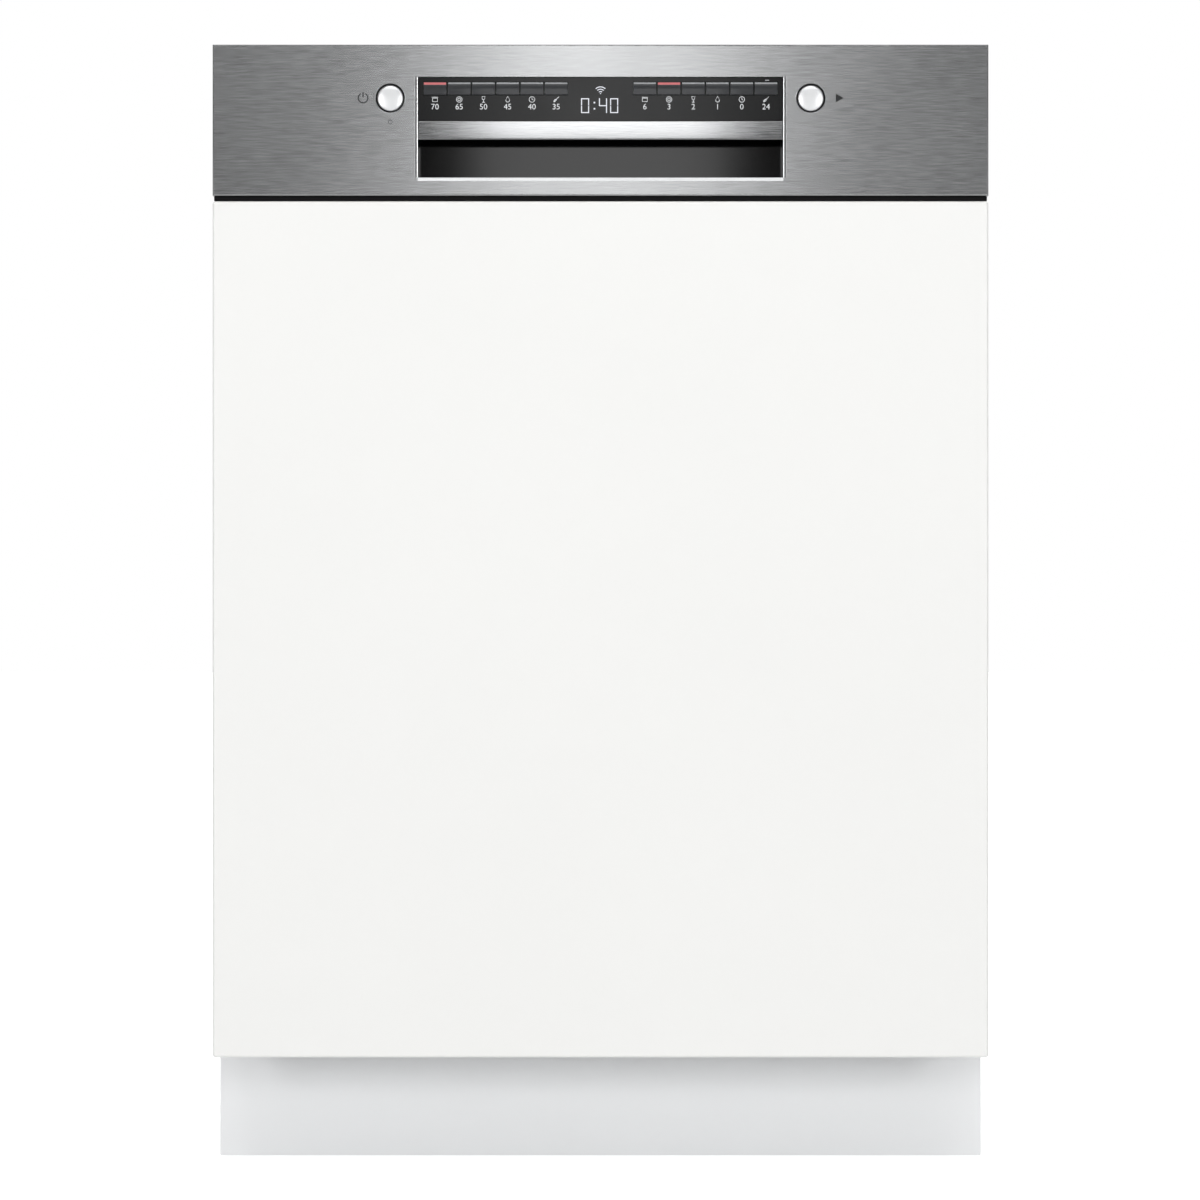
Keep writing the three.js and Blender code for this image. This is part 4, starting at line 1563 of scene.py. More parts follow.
class DISHWASHER_OT_filter(bpy.types.Operator):
    """Adds the filter cylinder with its grip and the cap of the salt container"""

    bl_idname = "dishwasher.filter"
    bl_label = "Filter and salt cap"

    def execute(self, context):
        self.add_filter()
        self.add_salt_cap()
        return {"FINISHED"}

    def add_filter(self):
        """A mesh barrel under a flange, with a ribbed well and a bar to turn it by."""
        low, high = limits("filter_cylinder")
        centre = ((low[0] + high[0]) / 2, (low[1] + high[1]) / 2)
        radius = (high[0] - low[0]) / 2
        rim = high[2] - 14
        frame = shape_of(
            add_turned, "z", centre,
            [
                (0, low[2]), (43.5, low[2]), (43.5, low[2] + 4), (41, low[2] + 5), (41, rim - 6),
                (radius - 1, rim - 4.8), (radius, rim - 3.5), (radius, rim - 1),
                (radius - 1.2, rim), (radius - 9, rim), (radius - 10, rim - 1.4), (37, rim - 1.4),
                (36, rim), (32, rim), (31, rim - 1), (30.5, rim - 22), (0, rim - 22),
            ],
            steps=64,
        )
        settle(
            "filter_frame", frame, FINISHES["grey"], "filter_cylinder",
            ("filter_cylinder",),
        )
        gauze = bmesh.new()
        add_turned(
            gauze, "z", centre,
            [
                (41.1, low[2] + 6), (41.8, low[2] + 6), (41.8, rim - 8), (41.1, rim - 8),
                (41.1, low[2] + 6),
            ],
            steps=64,
        )
        add_turned(
            gauze, "z", centre,
            [
                (36.5, rim - 1.2), (radius - 9.5, rim - 1.2), (radius - 9.5, rim - 0.6),
                (36.5, rim - 0.6), (36.5, rim - 1.2),
            ],
            steps=64,
        )
        settle("filter_gauze", gauze, FINISHES["gauze"], "filter_cylinder")
        grip = shape_of(
            add_slab, (centre[0] - 31, centre[1] - 4.5, rim - 9),
            (centre[0] + 31, centre[1] + 4.5, high[2]), 2.5, 4,
        )
        for step in range(12):
            angle = math.tau * (step + 0.5) / 12
            x, y = centre[0] + 31.5 * math.cos(angle), centre[1] + 31.5 * math.sin(angle)
            add_drum(grip, "z", (x, y), 1.6, rim - 21, rim + 0.6, sides=12, bevel=0.5)
        settle("filter_grip", grip, FINISHES["blue_grey"], "filter_cylinder")

    def add_salt_cap(self):
        """A ribbed screw cap with a bar across."""
        low, high = limits("salt_cap")
        centre = ((low[0] + high[0]) / 2, (low[1] + high[1]) / 2)
        radius = (high[0] - low[0]) / 2
        head = high[2] - 8
        cap = shape_of(
            add_turned, "z", centre,
            [
                (0, low[2]), (28.5, low[2]), (28.5, head - 12.5), (radius - 1.6, head - 12.5),
                (radius - 1.2, head - 2), (radius - 3, head), (radius - 7, head - 0.2),
                (radius - 9, head - 1.6), (0, head - 1.9),
            ],
            steps=64,
        )
        for step in range(36):
            angle = math.tau * step / 36
            x = centre[0] + (radius - 1.5) * math.cos(angle)
            y = centre[1] + (radius - 1.5) * math.sin(angle)
            add_drum(cap, "z", (x, y), 1.1, head - 12, head - 2.4, sides=10, bevel=0.4)
        add_slab(
            cap, (centre[0] - 27, centre[1] - 4, head - 3),
            (centre[0] + 27, centre[1] + 4, high[2]), 2.2, 3,
        )
        settle("salt_screw_cap", cap, FINISHES["pale"], "salt_cap", ("salt_cap",))


class DISHWASHER_OT_spray_arms(bpy.types.Operator):
    """Adds both spray arms with their hubs and nozzles"""

    bl_idname = "dishwasher.spray_arms"
    bl_label = "Spray arms"

    def execute(self, context):
        self.add_arm("lower_spray_arm", blade_from=2.6, blade_high=11)
        self.add_arm("upper_spray_arm", blade_from=3.0, blade_high=11)
        return {"FINISHED"}

    def add_arm(self, node, blade_from, blade_high):
        """A hollow-looking blade, waisted to its tips, with a spine, a hub and upright nozzles."""
        low, high = limits(node)
        centre = ((low[0] + high[0]) / 2, (low[1] + high[1]) / 2)
        reach = (high[0] - low[0]) / 2
        base, top = low[2] + blade_from, low[2] + blade_from + blade_high
        tip = 14.5
        outline = [(0, -23.5), *arc((reach - tip - 0.3, 0), tip, -90, 90, 12), (0, 23.5),
                   *arc((tip + 0.3 - reach, 0), tip, 90, 270, 12)]
        placed = [(centre[0] + u, centre[1] + v) for u, v in outline]
        blade = shape_of(add_prism, placed, base, top - 1.6, axis="z", bevel=3.0, segments=4)
        spine = [(centre[0] + u * 0.93, centre[1] + v * 0.5) for u, v in outline]
        add_prism(blade, spine, top - 4, top, axis="z", bevel=1.4, segments=3)
        add_turned(
            blade, "z", centre,
            [
                (0, low[2]), (17.5, low[2]), (18.5, low[2] + 1), (18.5, high[2] - 2.5),
                (16.5, high[2] - 0.6), (12, high[2]), (0, high[2]),
            ],
            steps=48,
        )
        settle(f"{node}_blade", blade, FINISHES["grey"], node, (node,))
        nozzles = bmesh.new()
        for side in (-1, 1):
            for step, share in enumerate((0.26, 0.42, 0.56, 0.69, 0.8, 0.9)):
                x = centre[0] + side * share * reach
                y = centre[1] + (6 if step % 2 else -6) * side * (1 - share * 0.5)
                add_turned(
                    nozzles, "z", (x, y),
                    [
                        (0, top - 0.6), (4.6, top - 0.6), (4.2, top + 0.9), (2.4, top + 1.1),
                        (1.7, top + 0.2), (0, top + 0.1),
                    ],
                    steps=20,
                )
        settle(f"{node}_nozzles", nozzles, FINISHES["blue_grey"], node)


# ---------------------------------------------------------------- baskets


def basket_wires(low, high, pitch, lean=0.0):
    """Wires of an open basket: bars bent up at all four sides, and the rim loops."""
    (left, front, floor), (right, back, rim) = low, high
    across = max(2, round((back - front) / pitch))
    along = max(2, round((right - left) / (pitch * 1.6)))
    bars = []
    for step in range(1, across):
        y = front + (back - front) * step / across
        ends = [(left, y, rim), (left + lean, y, floor), (right - lean, y, floor), (right, y, rim)]
        bars.append((rounded_path(ends, 14, steps=4), False))
    for step in range(1, along):
        x = left + (right - left) * step / along
        ends = [
            (x, front, rim), (x, front + lean, floor + 3), (x, back - lean, floor + 3),
            (x, back, rim),
        ]
        bars.append((rounded_path(ends, 14, steps=4), False))
    loops = []
    for height in (rim, floor + (rim - floor) * 0.42):
        share = (height - floor) / (rim - floor)
        inset = lean * (1 - share)
        corners = [(left + inset, front + inset, height), (right - inset, front + inset, height),
                   (right - inset, back - inset, height), (left + inset, back - inset, height)]
        loops.append((rounded_path(corners, 22, closed=True, steps=6), True))
    return bars, loops


def add_wires(name, bars, loops, racks, body, replaced=()):
    """Settles thin wires and thick loops as one coated piece."""
    thin = wire_mesh(bars, racks.floor_wire, sides=2)
    thick = wire_mesh(loops, racks.rim_wire, sides=2)
    settle(name, merged([thin, thick]), FINISHES["wire"], body, replaced, smooth=60)


def tine_loops(x, rows, floor, height, slope):
    """Upright prongs: one straight wire for each row, leaning by the slope as it rises."""
    wires = []
    for y in rows:
        wires.append(([(x, y, floor), (x + slope, y, floor + height)], False))
    return wires


class DISHWASHER_OT_lower_basket(bpy.types.Operator):
    """Adds the lower wire basket with its tines and wheels, and the row of tines that folds"""

    bl_idname = "dishwasher.lower_basket"
    bl_label = "Lower basket"

    def execute(self, context):
        racks = context.scene.dishwasher_racks
        low, high = limits("lower_rack")
        fold_low, fold_high = limits("folding_tines")
        half = limits("upper_rack")[1][0] - 18.6
        floor = fold_low[2] - 9
        bars, loops = basket_wires(
            (-half, low[1] + 2.5, floor), (half, high[1] - 2.5, high[2] - 2.5), racks.across_pitch,
            5,
        )
        pitch = (fold_high[1] - fold_low[1] - 20) / 6
        rows = [fold_low[1] + 10 + pitch * step for step in range(7)]
        for x in (-175, 60, 175):
            bars += tine_loops(x, rows, floor, racks.tine_height, 4)
            loops.append(([(x, rows[0] - 24, floor + 4), (x, rows[-1] + 24, floor + 4)], False))
        add_wires("lower_basket_wires", bars, loops, racks, "lower_rack", ("lower_rack",))
        self.add_wheels(low)
        self.add_grip(low[1], high[2])
        self.add_folding_row(fold_low, fold_high, rows, racks)
        return {"FINISHED"}

    def add_wheels(self, low):
        """Two wheels a side, each with a tyre groove, spokes and the bracket on the wires."""
        radius = 19.8
        axle = low[2] + 20
        wheels, brackets = bmesh.new(), bmesh.new()
        for side in (-1, 1):
            for y in (45, 215):
                inner, outer = side * 255.2, side * 263.8
                add_turned(
                    wheels, "x", (y, axle),
                    [
                        (0, inner), (8, inner), (8.6, inner + side * 2), (14, inner + side * 2.4),
                        (15, inner), (radius - 1, inner), (radius, inner + side * 1.2),
                        (radius, outer - side * 1.2), (radius - 1, outer), (15, outer),
                        (14, outer - side * 2.4), (8.6, outer - side * 2), (8, outer), (0, outer),
                    ],
                    steps=48,
                )
                for spoke in range(6):
                    angle = math.tau * spoke / 6
                    add_drum(
                        wheels, "x", (y + 11.4 * math.cos(angle), axle + 11.4 * math.sin(angle)),
                        1.6, *sorted((inner + side * 1.0, outer - side * 1.0)), sides=12,
                    )
                near, far = sorted((side * 249.5, side * 254.8))
                add_slab(brackets, (near, y - 8, axle - 7), (far, y + 8, axle + 58), 2.0, 3)
                add_drum(brackets, "x", (y, axle), 6.5, near, far, sides=28, bevel=0.8)
        settle("basket_wheels", wheels, FINISHES["grey"], "lower_rack")
        settle("wheel_brackets", brackets, FINISHES["blue_grey"], "lower_rack")

    def add_grip(self, front, rim):
        """The plastic grip clipped on the front rim."""
        grip = shape_of(
            add_slab, (-90, front + 0.6, rim - 24), (90, front + 6.4, rim - 0.3), 2.4, 4,
        )
        add_slab(grip, (-82, front + 0.3, rim - 18), (82, front + 3.0, rim - 15), 0.8, 2)
        settle("lower_basket_grip", grip, FINISHES["blue_grey"], "lower_rack")

    def add_folding_row(self, low, high, rows, racks):
        """The row of tines on its own hinge wire, with a clip at each end."""
        x, floor = (low[0] + high[0]) / 2, low[2] + 2
        bars = [([(x, y, floor), (x, y, high[2] - 2)], False) for y in rows]
        loops = [([(x, low[1] + 1, floor), (x, high[1] - 1, floor)], False)]
        slim = wire_mesh(bars, racks.floor_wire, sides=2)
        rod = wire_mesh(loops, 4.0, sides=2)
        settle(
            "folding_row", merged([slim, rod]), FINISHES["wire"], "folding_tines",
            ("folding_tines",), smooth=60,
        )
        clips = bmesh.new()
        for y in (rows[0] - 7, rows[-1] + 3):
            add_drum(clips, "y", (x, floor), 4.2, y, y + 4, sides=24, bevel=0.8)
        settle("folding_row_clips", clips, FINISHES["blue_grey"], "folding_tines")


class DISHWASHER_OT_upper_basket(bpy.types.Operator):
    """Adds the upper wire basket with its runners, water pipe, height levers and cup shelf"""

    bl_idname = "dishwasher.upper_basket"
    bl_label = "Upper basket"

    def execute(self, context):
        racks = context.scene.dishwasher_racks
        low, high = limits("upper_rack")
        half = high[0] - 18.6
        back = limits("cutlery_drawer")[1][1] - 2.5
        floor = low[2] + 20
        bars, loops = basket_wires(
            (-half, low[1] + 2.5, floor), (half, back, high[2] - 2.5), racks.across_pitch, 4,
        )
        rows = [low[1] + 50 + 30 * step for step in range(11)]
        for x in (-200, -120, -30, 60):
            bars += tine_loops(x, rows, floor, 46, 3)
            loops.append(([(x, rows[0] - 20, floor + 4), (x, rows[-1] + 20, floor + 4)], False))
        add_wires("upper_basket_wires", bars, loops, racks, "upper_rack", ("upper_rack",))
        self.add_runners(low, high, half)
        self.add_pipe(low, high)
        self.add_shelf(racks)
        grip = shape_of(
            add_slab, (-90, low[1] + 0.6, high[2] - 24), (90, low[1] + 6.4, high[2] - 0.3), 2.4, 4,
        )
        add_slab(grip, (-82, low[1] + 0.3, high[2] - 18), (82, low[1] + 3.0, high[2] - 15), 0.8, 2)
        settle("upper_basket_grip", grip, FINISHES["blue_grey"], "upper_rack")
        return {"FINISHED"}

    def add_runners(self, low, high, half):
        """The inner rail bars, the rollers they run on and the lever plates that set the height."""
        rail_low, rail_high = limits("upper_rail_right")
        middle = (rail_low[2] + rail_high[2]) / 2
        bars, plates = bmesh.new(), bmesh.new()
        for side in (-1, 1):
            near, far = sorted((side * (high[0] - 5.8), side * (high[0] - 0.3)))
            add_slab(
                bars, (near, low[1] + 7, middle - 4.3), (far, high[1] - 10, middle + 4.3), 1.0, 2,
            )
            near, far = sorted((side * (half + 2.6), side * (half + 6.6)))
            add_slab(plates, (near, -70, middle - 12), (far, 150, middle + 46), 1.6, 3)
            add_slab(plates, (near, 10, middle + 40), (far, 70, middle + 66), 1.6, 3)
            for y in (-50, 130):
                near, far = sorted((side * (half + 4), side * (high[0] - 4)))
                add_drum(plates, "x", (y, middle), 4.2, near, far, sides=24, bevel=0.6)
        settle("upper_runners", bars, FINISHES["tub_steel"], "upper_rack")
        settle("height_levers", plates, FINISHES["blue_grey"], "upper_rack")

    def add_pipe(self, low, high):
        """The pipe that feeds the upper arm, from its socket at the back to the hub above the arm.
        """
        arm_low, arm_high = limits("upper_spray_arm")
        hub = ((arm_low[0] + arm_high[0]) / 2, (arm_low[1] + arm_high[1]) / 2)
        height = low[2] + 12
        pipe = shape_of(
            add_drum, "y", (hub[0], height), 6.8, hub[1] - 11, high[1] - 8, sides=32, bevel=2.0,
        )
        add_drum(
            pipe, "y", (hub[0], height), 7.0, high[1] - 14, high[1] - 0.3, sides=32, bevel=0.8,
            end_radius=6.0,
        )
        add_turned(
            pipe, "z", hub,
            [
                (0, low[2] + 0.2), (9.6, low[2] + 0.2), (9.6, low[2] + 5), (7, low[2] + 7),
                (7, height), (0, height),
            ],
            steps=32,
        )
        settle("upper_water_pipe", pipe, FINISHES["grey"], "upper_rack")

    def add_shelf(self, racks):
        """The folding cup shelf of bent wires, with hinge clips."""
        low, high = limits("cup_shelf")
        height = (low[2] + high[2]) / 2
        edge = [
            (low[0] + 2, low[1] + 2, height), (high[0] - 2, low[1] + 2, height),
            (high[0] - 2, high[1] - 2, height), (low[0] + 2, high[1] - 2, height),
        ]
        loops = [(rounded_path(edge, 12, closed=True, steps=5), True)]
        count = 9
        bars = []
        for step in range(1, count):
            y = low[1] + 2 + (high[1] - low[1] - 4) * step / count
            bars.append(([(low[0] + 2, y, height), (high[0] - 2, y, height)], False))
        slim = wire_mesh(bars, racks.floor_wire, sides=2)
        thick = wire_mesh(loops, 3.8, sides=2)
        settle(
            "cup_shelf_wires", merged([slim, thick]), FINISHES["wire"], "cup_shelf",
            ("cup_shelf",), smooth=60,
        )
        clips = bmesh.new()
        for share in (0.15, 0.85):
            y = low[1] + (high[1] - low[1]) * share
            add_drum(clips, "y", (high[0] - 2, height), 3.6, y - 8, y + 8, sides=24, bevel=0.8)
        settle("cup_shelf_clips", clips, FINISHES["blue_grey"], "cup_shelf")


class DISHWASHER_OT_cutlery_tray(bpy.types.Operator):
    """Adds the flat cutlery drawer with its combs"""

    bl_idname = "dishwasher.cutlery_tray"
    bl_label = "Cutlery drawer"

    def execute(self, context):
        racks = context.scene.dishwasher_racks
        low, high = limits("cutlery_drawer")
        half = high[0] - 20
        bars, loops = basket_wires(
            (-half, low[1] + 2.5, low[2] + 2), (half, high[1] - 2.5, high[2] - 2.5), 46, 3,
        )
        add_wires("drawer_wires", bars, loops, racks, "cutlery_drawer", ("cutlery_drawer",))
        combs = bmesh.new()
        floor = low[2] + 8
        bays = [(-half + 6, -half / 3 - 3), (-half / 3 + 3, half / 3 - 3), (half / 3 + 3, half - 6)]
        for left, right in bays:
            for y in [low[1] + 16 + 33 * step for step in range(12)]:
                add_slab(combs, (left, y, floor), (right, y + 2.2, floor + 5), 0.5, 1)
                teeth = int((right - left) / 13)
                for tooth in range(1, teeth):
                    x = left + (right - left) * tooth / teeth
                    add_slab(combs, (x - 1.2, y, floor + 3), (x + 1.2, y + 2.2, floor + 17), 0.5, 1)
            for x in (left, right - 2.4):
                add_slab(
                    combs, (x, low[1] + 10, floor - 2), (x + 2.4, high[1] - 10, floor + 14), 0.6, 1,
                )
        settle("drawer_combs", combs, FINISHES["pale"], "cutlery_drawer")
        runners = bmesh.new()
        for side in (-1, 1):
            near, far = sorted((side * (half + 2.2), side * (high[0] - 0.3)))
            add_slab(
                runners, (near, low[1] + 7, low[2] + 11.3), (far, high[1] - 7, low[2] + 18.5), 1.2,
                2,
            )
        settle("drawer_runners", runners, FINISHES["blue_grey"], "cutlery_drawer")
        grip = shape_of(
            add_slab, (-80, low[1] + 0.5, high[2] - 20), (80, low[1] + 6, high[2] - 0.3), 2.2, 4,
        )
        settle("drawer_grip", grip, FINISHES["blue_grey"], "cutlery_drawer")
        return {"FINISHED"}


# ---------------------------------------------------------------- outer sheets and base


class DISHWASHER_OT_outer_sheets(bpy.types.Operator):
    """Adds the pressed galvanised sheets at the sides, back and top"""

    bl_idname = "dishwasher.outer_sheets"
    bl_label = "Outer sheets"

    def execute(self, context):
        self.add_sides()
        self.add_back()
        self.add_top()
        return {"FINISHED"}

    def add_sides(self):
        """Each side: a flat border, two pressed fields and the rivets."""
        _, plinth_high = limits("plinth")
        for side, node in ((-1, "side_panel_left"), (1, "side_panel_right")):
            low, high = limits(node)
            border = 34
            middle = (low[2] + high[2]) / 2 + 30
            fields = [(low[2] + 110, middle - 20), (middle + 20, high[2] - border)]
            plate = shape_of(add_slab, low, high, 0.3, 1)
            notch = shape_of(
                add_slab, (low[0] - 9, low[1] - 9, low[2] - 9),
                (high[0] + 9, plinth_high[1] + 1, plinth_high[2] + 1),
            )
            windows = [
                shape_of(
                    add_slab, (low[0] - 9, low[1] + border, bottom),
                    (high[0] + 9, high[1] - border, top),
                ) for bottom,
                top in fields
            ]
            sheet = carve(plate, notch, *windows)
            outer = high[0] if side > 0 else low[0]
            pressed = [
                embossed(
                    "x", outer - side * 0.65, (low[1] + border - 0.2, bottom - 0.2),
                    (high[1] - border + 0.2, top + 0.2),
                    [(6, 0.0), (7, -side * 4.0), (44, 0.0), (6, side * 3.0)], 0.9,
                ) for bottom,
                top in fields
            ]
            settle(
                f"{node}_sheet", merged([sheet, *pressed]), FINISHES["zinc"], "chassis",
                (node,), smooth=50,
            )
            pins = bmesh.new()
            for y in (low[1] + 16, high[1] - 16):
                for z in (low[2] + 100, middle, high[2] - 16):
                    add_turned(
                        pins, "x", (y, z),
                        [
                            (0, outer - side * 0.9), (3.4, outer - side * 0.9),
                            (3.4, outer - side * 0.2), (2.2, outer - side * 0.02),
                            (0, outer - side * 0.02),
                        ],
                        steps=20,
                    )
            settle(f"{node}_rivets", pins, FINISHES["bright_rim"], "chassis")

    def add_back(self):
        """The back sheet with two pressed fields and screws along its edges."""
        low, high = limits("rear_panel")
        sheet = embossed("y", (low[1] + high[1]) / 2, (low[0], low[2]), (high[0], high[2]),
                         [(30, 0.0), (8, -5.0), (70, 0.0), (8, 4.0)], 1.0)
        settle(
            "back_sheet", sheet, FINISHES["zinc"], "chassis", ("rear_panel",),
            smooth=50,
        )
        screws = bmesh.new()
        for x in (low[0] + 14, 0, high[0] - 14):
            for z in (low[2] + 14, high[2] - 14):
                add_turned(
                    screws, "y", (x, z),
                    [
                        (0, high[1] - 1.3), (3.8, high[1] - 1.3), (3.8, high[1] - 0.5),
                        (2.4, high[1] - 0.05), (1.2, high[1] - 0.05), (0.8, high[1] - 0.5),
                        (0, high[1] - 0.5),
                    ],
                    steps=20,
                )
        settle("back_screws", screws, FINISHES["bright_rim"], "chassis")

    def add_top(self):
        """The top sheet, with a shallow pressed field and the felt laid in it."""
        low, high = limits("top_cover")
        sheet = embossed(
            "z", high[2] - 0.6, (low[0], low[1]), (high[0], high[1]), [(36, 0.0), (7, -2.4)], 0.9,
        )
        settle(
            "top_sheet", sheet, FINISHES["zinc"], "chassis", ("top_cover",),
            smooth=50,
        )
        felt = shape_of(
            add_slab, (low[0] + 60, low[1] + 60, high[2] - 3.0),
            (high[0] - 60, high[1] - 60, high[2] - 1.2), 0.5, 2,
        )
        settle("top_felt", felt, FINISHES["felt"], "chassis")


class DISHWASHER_OT_base(bpy.types.Operator):
    """Adds the base tray, the feet, the water connections and the machinery under the tub"""

    bl_idname = "dishwasher.base"
    bl_label = "Base and feet"

    def execute(self, context):
        self.add_tray()
        for node in ("foot_front_left", "foot_front_right", "foot_rear"):
            self.add_foot(node)
        self.add_connections()
        self.add_pump()
        return {"FINISHED"}

    def add_tray(self):
        """The ribbed plastic tray under the tub, with sleeves for the feet."""
        low, high = limits("base_pan")
        wall = 4
        tray = shape_of(
            add_slab, (low[0] + 1, low[1] + 1, low[2]), (high[0] - 1, high[1] - 1, high[2]),
        )
        round_sharp(tray, 8, 3, keep=lambda e: abs(e.verts[0].co.z - e.verts[1].co.z) > 9)
        hollow = shape_of(
            add_slab, (low[0] + wall, low[1] + wall, low[2] + wall),
            (high[0] - wall, high[1] - wall, high[2] + 9),
        )
        feet = [
            [(a + b) / 2 for a, b in zip(*limits(node))] for node in (
                "foot_front_left", "foot_front_right", "foot_rear",
            )
        ]
        sleeves = bmesh.new()
        for x, y, _ in feet:
            add_drum(sleeves, "z", (x, y), 12, low[2] + 2, low[2] + 62, sides=32, bevel=1.0)
        holes = [
            shape_of(add_drum, "z", (x, y), 7.6, low[2] - 9, low[2] + 80, sides=32) for x, y,
            _ in feet
        ]
        tray = carve(tray, hollow, *[hole.copy() for hole in holes])
        sleeves = carve(sleeves, *holes)
        ribs = bmesh.new()
        for x in [low[0] + 40 + 56 * step for step in range(10)]:
            for face in (low[1] + 0.3, high[1] - 1.3):
                add_slab(
                    ribs, (x - 1.5, face, low[2] + 6), (x + 1.5, face + 1.0, high[2] - 6), 0.4, 1,
                )
        for y in [low[1] + 40 + 56 * step for step in range(7)]:
            for face in (low[0] + 0.3, high[0] - 1.3):
                add_slab(
                    ribs, (face, y - 1.5, low[2] + 6), (face + 1.0, y + 1.5, high[2] - 6), 0.4, 1,
                )
        settle(
            "base_tray", merged([tray, sleeves, ribs]), FINISHES["black"], "chassis",
            ("base_pan",),
        )

    def add_foot(self, node):
        """A levelling foot: domed pad, hexagon to turn it by and a threaded stem."""
        low, high = limits(node)
        centre = ((low[0] + high[0]) / 2, (low[1] + high[1]) / 2)
        radius = (high[0] - low[0]) / 2
        pad = shape_of(
            add_turned, "z", centre,
            [
                (0, low[2]), (radius - 1, low[2]), (radius, low[2] + 1), (radius, low[2] + 5),
                (radius - 3, low[2] + 7.5), (12, low[2] + 9.5), (0, low[2] + 9.5),
            ],
            steps=48,
        )
        add_drum(pad, "z", centre, 9.5, low[2] + 8, low[2] + 16, sides=6)
        settle(f"{node}_pad", pad, FINISHES["black"], node, (node,))
        profile = [(0, low[2] + 12), (6.0, low[2] + 12)]
        turns = 32
        run = high[2] - low[2] - 14
        for turn in range(turns):
            base = low[2] + 13 + run * turn / turns
            profile += [(6.0, base), (6.9, base + run / turns * 0.5)]
        profile += [(6.0, high[2] - 0.8), (5.2, high[2]), (0, high[2])]
        settle(
            f"{node}_thread", shape_of(add_turned, "z", centre, profile, steps=24),
            FINISHES["bright_rim"], node,
        )

    def add_connections(self):
        """The water inlet with its threaded spigot and the drain spigot with its barb."""
        low, high = limits("water_connections")
        block = shape_of(add_slab, low, (high[0], high[1] - 3.5, high[2]), 0.8, 2)
        for x, radius in ((-215, 12.8), (-160, 8.8)):
            add_turned(
                block, "y", (x, 65),
                [
                    (0, low[1] + 1), (radius, low[1] + 1), (radius, high[1] - 3),
                    (radius - 1, high[1] - 2.6), (radius - 1, high[1] - 2), (radius, high[1] - 1.6),
                    (radius, high[1] - 0.6), (radius - 1, high[1]), (radius - 4, high[1]),
                    (radius - 4, high[1] - 4), (0, high[1] - 4),
                ],
                steps=40,
            )
        settle(
            "water_inlet_and_drain", block, FINISHES["black"], "chassis",
            ("water_connections",),
        )

    def add_pump(self):
        """The pump with its ribbed motor and an upright pipe stub."""
        low, high = limits("circulation_pump")
        centre = (100, 70)
        pump = shape_of(
            add_turned, "x", centre,
            [
                (0, low[0]), (30, low[0]), (39, low[0] + 6), (39.8, low[0] + 20), (39.8, 40),
                (36, 49), (29, 50), (29, high[0] - 8), (24, high[0] - 1), (0, high[0]),
            ],
            steps=64,
        )
        for step in range(7):
            add_drum(pump, "x", centre, 29.8, 56 + 8 * step, 59 + 8 * step, sides=48)
        add_drum(pump, "z", (30, 100), 12.8, 100, high[2] - 0.2, sides=32)
        settle(
            "pump_and_motor", pump, FINISHES["grey"], "chassis",
            ("circulation_pump",),
        )


# ---------------------------------------------------------------- plain parts


PLAIN_PARTS = {
    "sump": "grey", "water_softener": "pale", "hinge_bracket_left": "zinc",
    "hinge_bracket_right": "zinc", "hinge_arm_left": "zinc", "hinge_arm_right": "zinc",
    "lock_strike": "tub_steel", "door_lock": "black", "control_board": "board",
}


class DISHWASHER_OT_plain_parts(bpy.types.Operator):
    """Gives the fittings whose plain shape is kept their finishes"""

    bl_idname = "dishwasher.plain_parts"
    bl_label = "Plain fittings"

    def execute(self, context):
        for node, finish in PLAIN_PARTS.items():
            for slot in frame["nodes"][node].material_slots:
                slot.link = "OBJECT"
                slot.material = FINISHES[finish]
        return {"FINISHED"}


# ---------------------------------------------------------------- panel and run


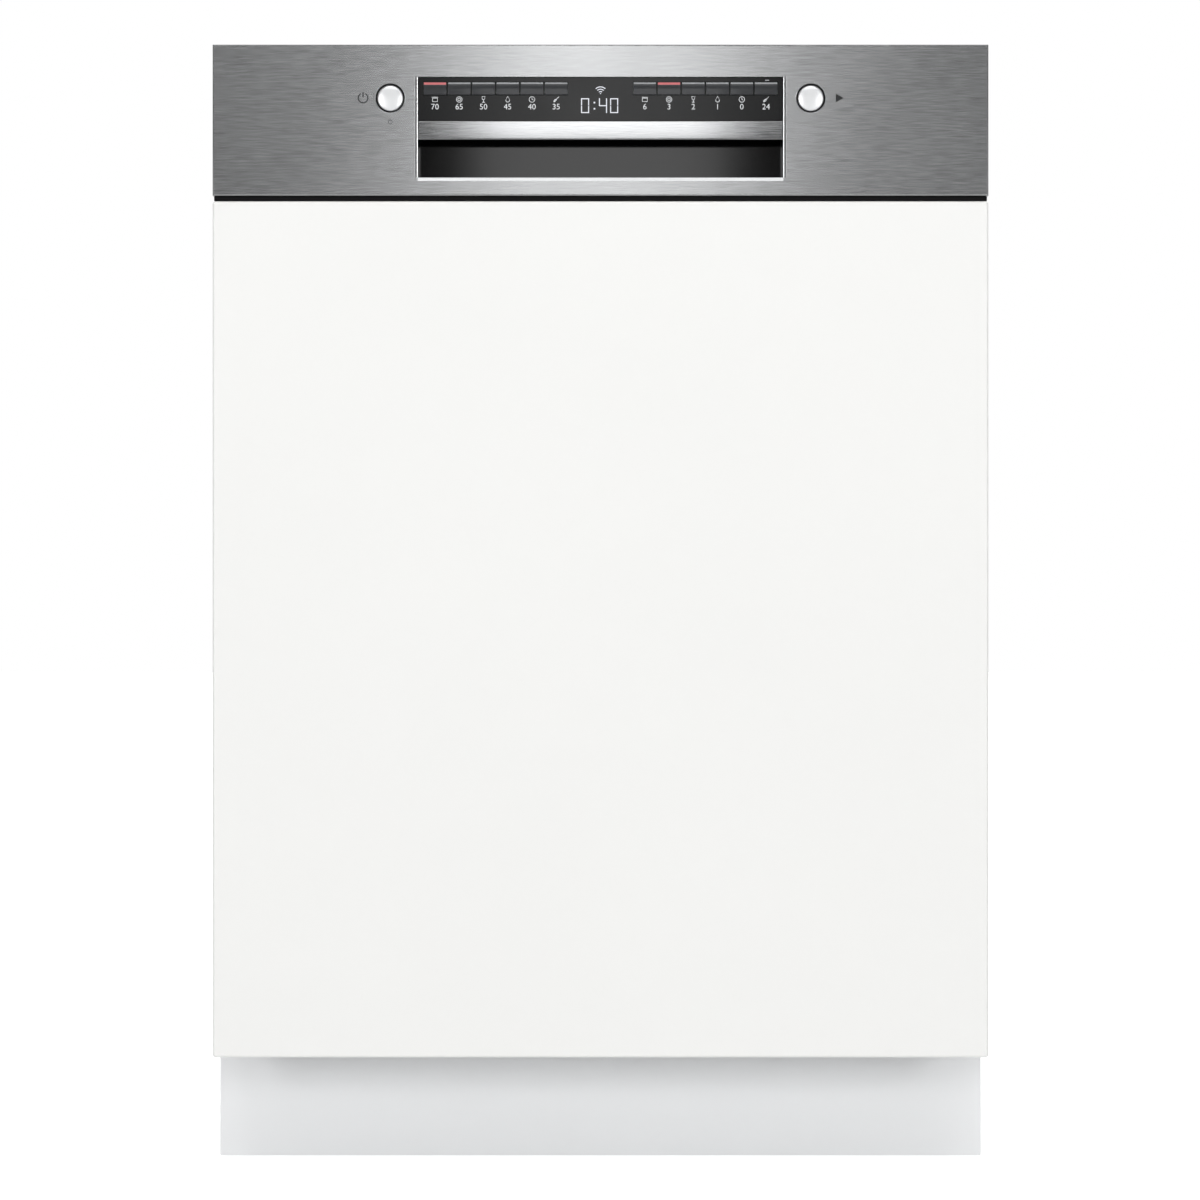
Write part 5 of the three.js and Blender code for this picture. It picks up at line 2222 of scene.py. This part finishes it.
class DISHWASHER_PT_panel(bpy.types.Panel):
    """Lists the dishwasher's pieces and settings in the sidebar"""

    bl_label = "Built-in Dishwasher"
    bl_idname = "DISHWASHER_PT_panel"
    bl_space_type = "VIEW_3D"
    bl_region_type = "UI"
    bl_category = "Dishwasher"

    def draw(self, context):
        layout = self.layout
        for settings in (
            context.scene.dishwasher_front, context.scene.dishwasher_racks,
            context.scene.dishwasher_studio,
        ):
            box = layout.box()
            for name in settings.__annotations__:
                box.prop(settings, name)
        for operator in OPERATORS:
            layout.operator(operator.bl_idname)


SETTINGS = {
    "dishwasher_front": FrontSettings,
    "dishwasher_racks": RackSettings,
    "dishwasher_studio": StudioSettings,
}
OPERATORS = (
    DISHWASHER_OT_stage,
    DISHWASHER_OT_fascia,
    DISHWASHER_OT_boards,
    DISHWASHER_OT_display,
    DISHWASHER_OT_grip,
    DISHWASHER_OT_round_buttons,
    DISHWASHER_OT_door_inside,
    DISHWASHER_OT_tub,
    DISHWASHER_OT_filter,
    DISHWASHER_OT_spray_arms,
    DISHWASHER_OT_lower_basket,
    DISHWASHER_OT_upper_basket,
    DISHWASHER_OT_cutlery_tray,
    DISHWASHER_OT_outer_sheets,
    DISHWASHER_OT_base,
    DISHWASHER_OT_plain_parts,
)


def register():
    """Registers the settings, the operators and the panel."""
    for settings in SETTINGS.values():
        bpy.utils.register_class(settings)
    for operator in OPERATORS:
        bpy.utils.register_class(operator)
    bpy.utils.register_class(DISHWASHER_PT_panel)
    for name, settings in SETTINGS.items():
        setattr(bpy.types.Scene, name, PointerProperty(type=settings))


def unregister():
    """Takes the settings, the operators and the panel away again."""
    for name in SETTINGS:
        delattr(bpy.types.Scene, name)
    bpy.utils.unregister_class(DISHWASHER_PT_panel)
    for operator in reversed(OPERATORS):
        bpy.utils.unregister_class(operator)
    for settings in reversed(SETTINGS.values()):
        bpy.utils.unregister_class(settings)


def main():
    """Builds every piece in order."""
    register()
    scene = bpy.context.scene
    make_finishes(scene.dishwasher_front, scene.dishwasher_racks)
    for operator in OPERATORS:
        getattr(bpy.ops.dishwasher, operator.bl_idname.split(".")[1])()


if __name__ == "__main__":
    main()
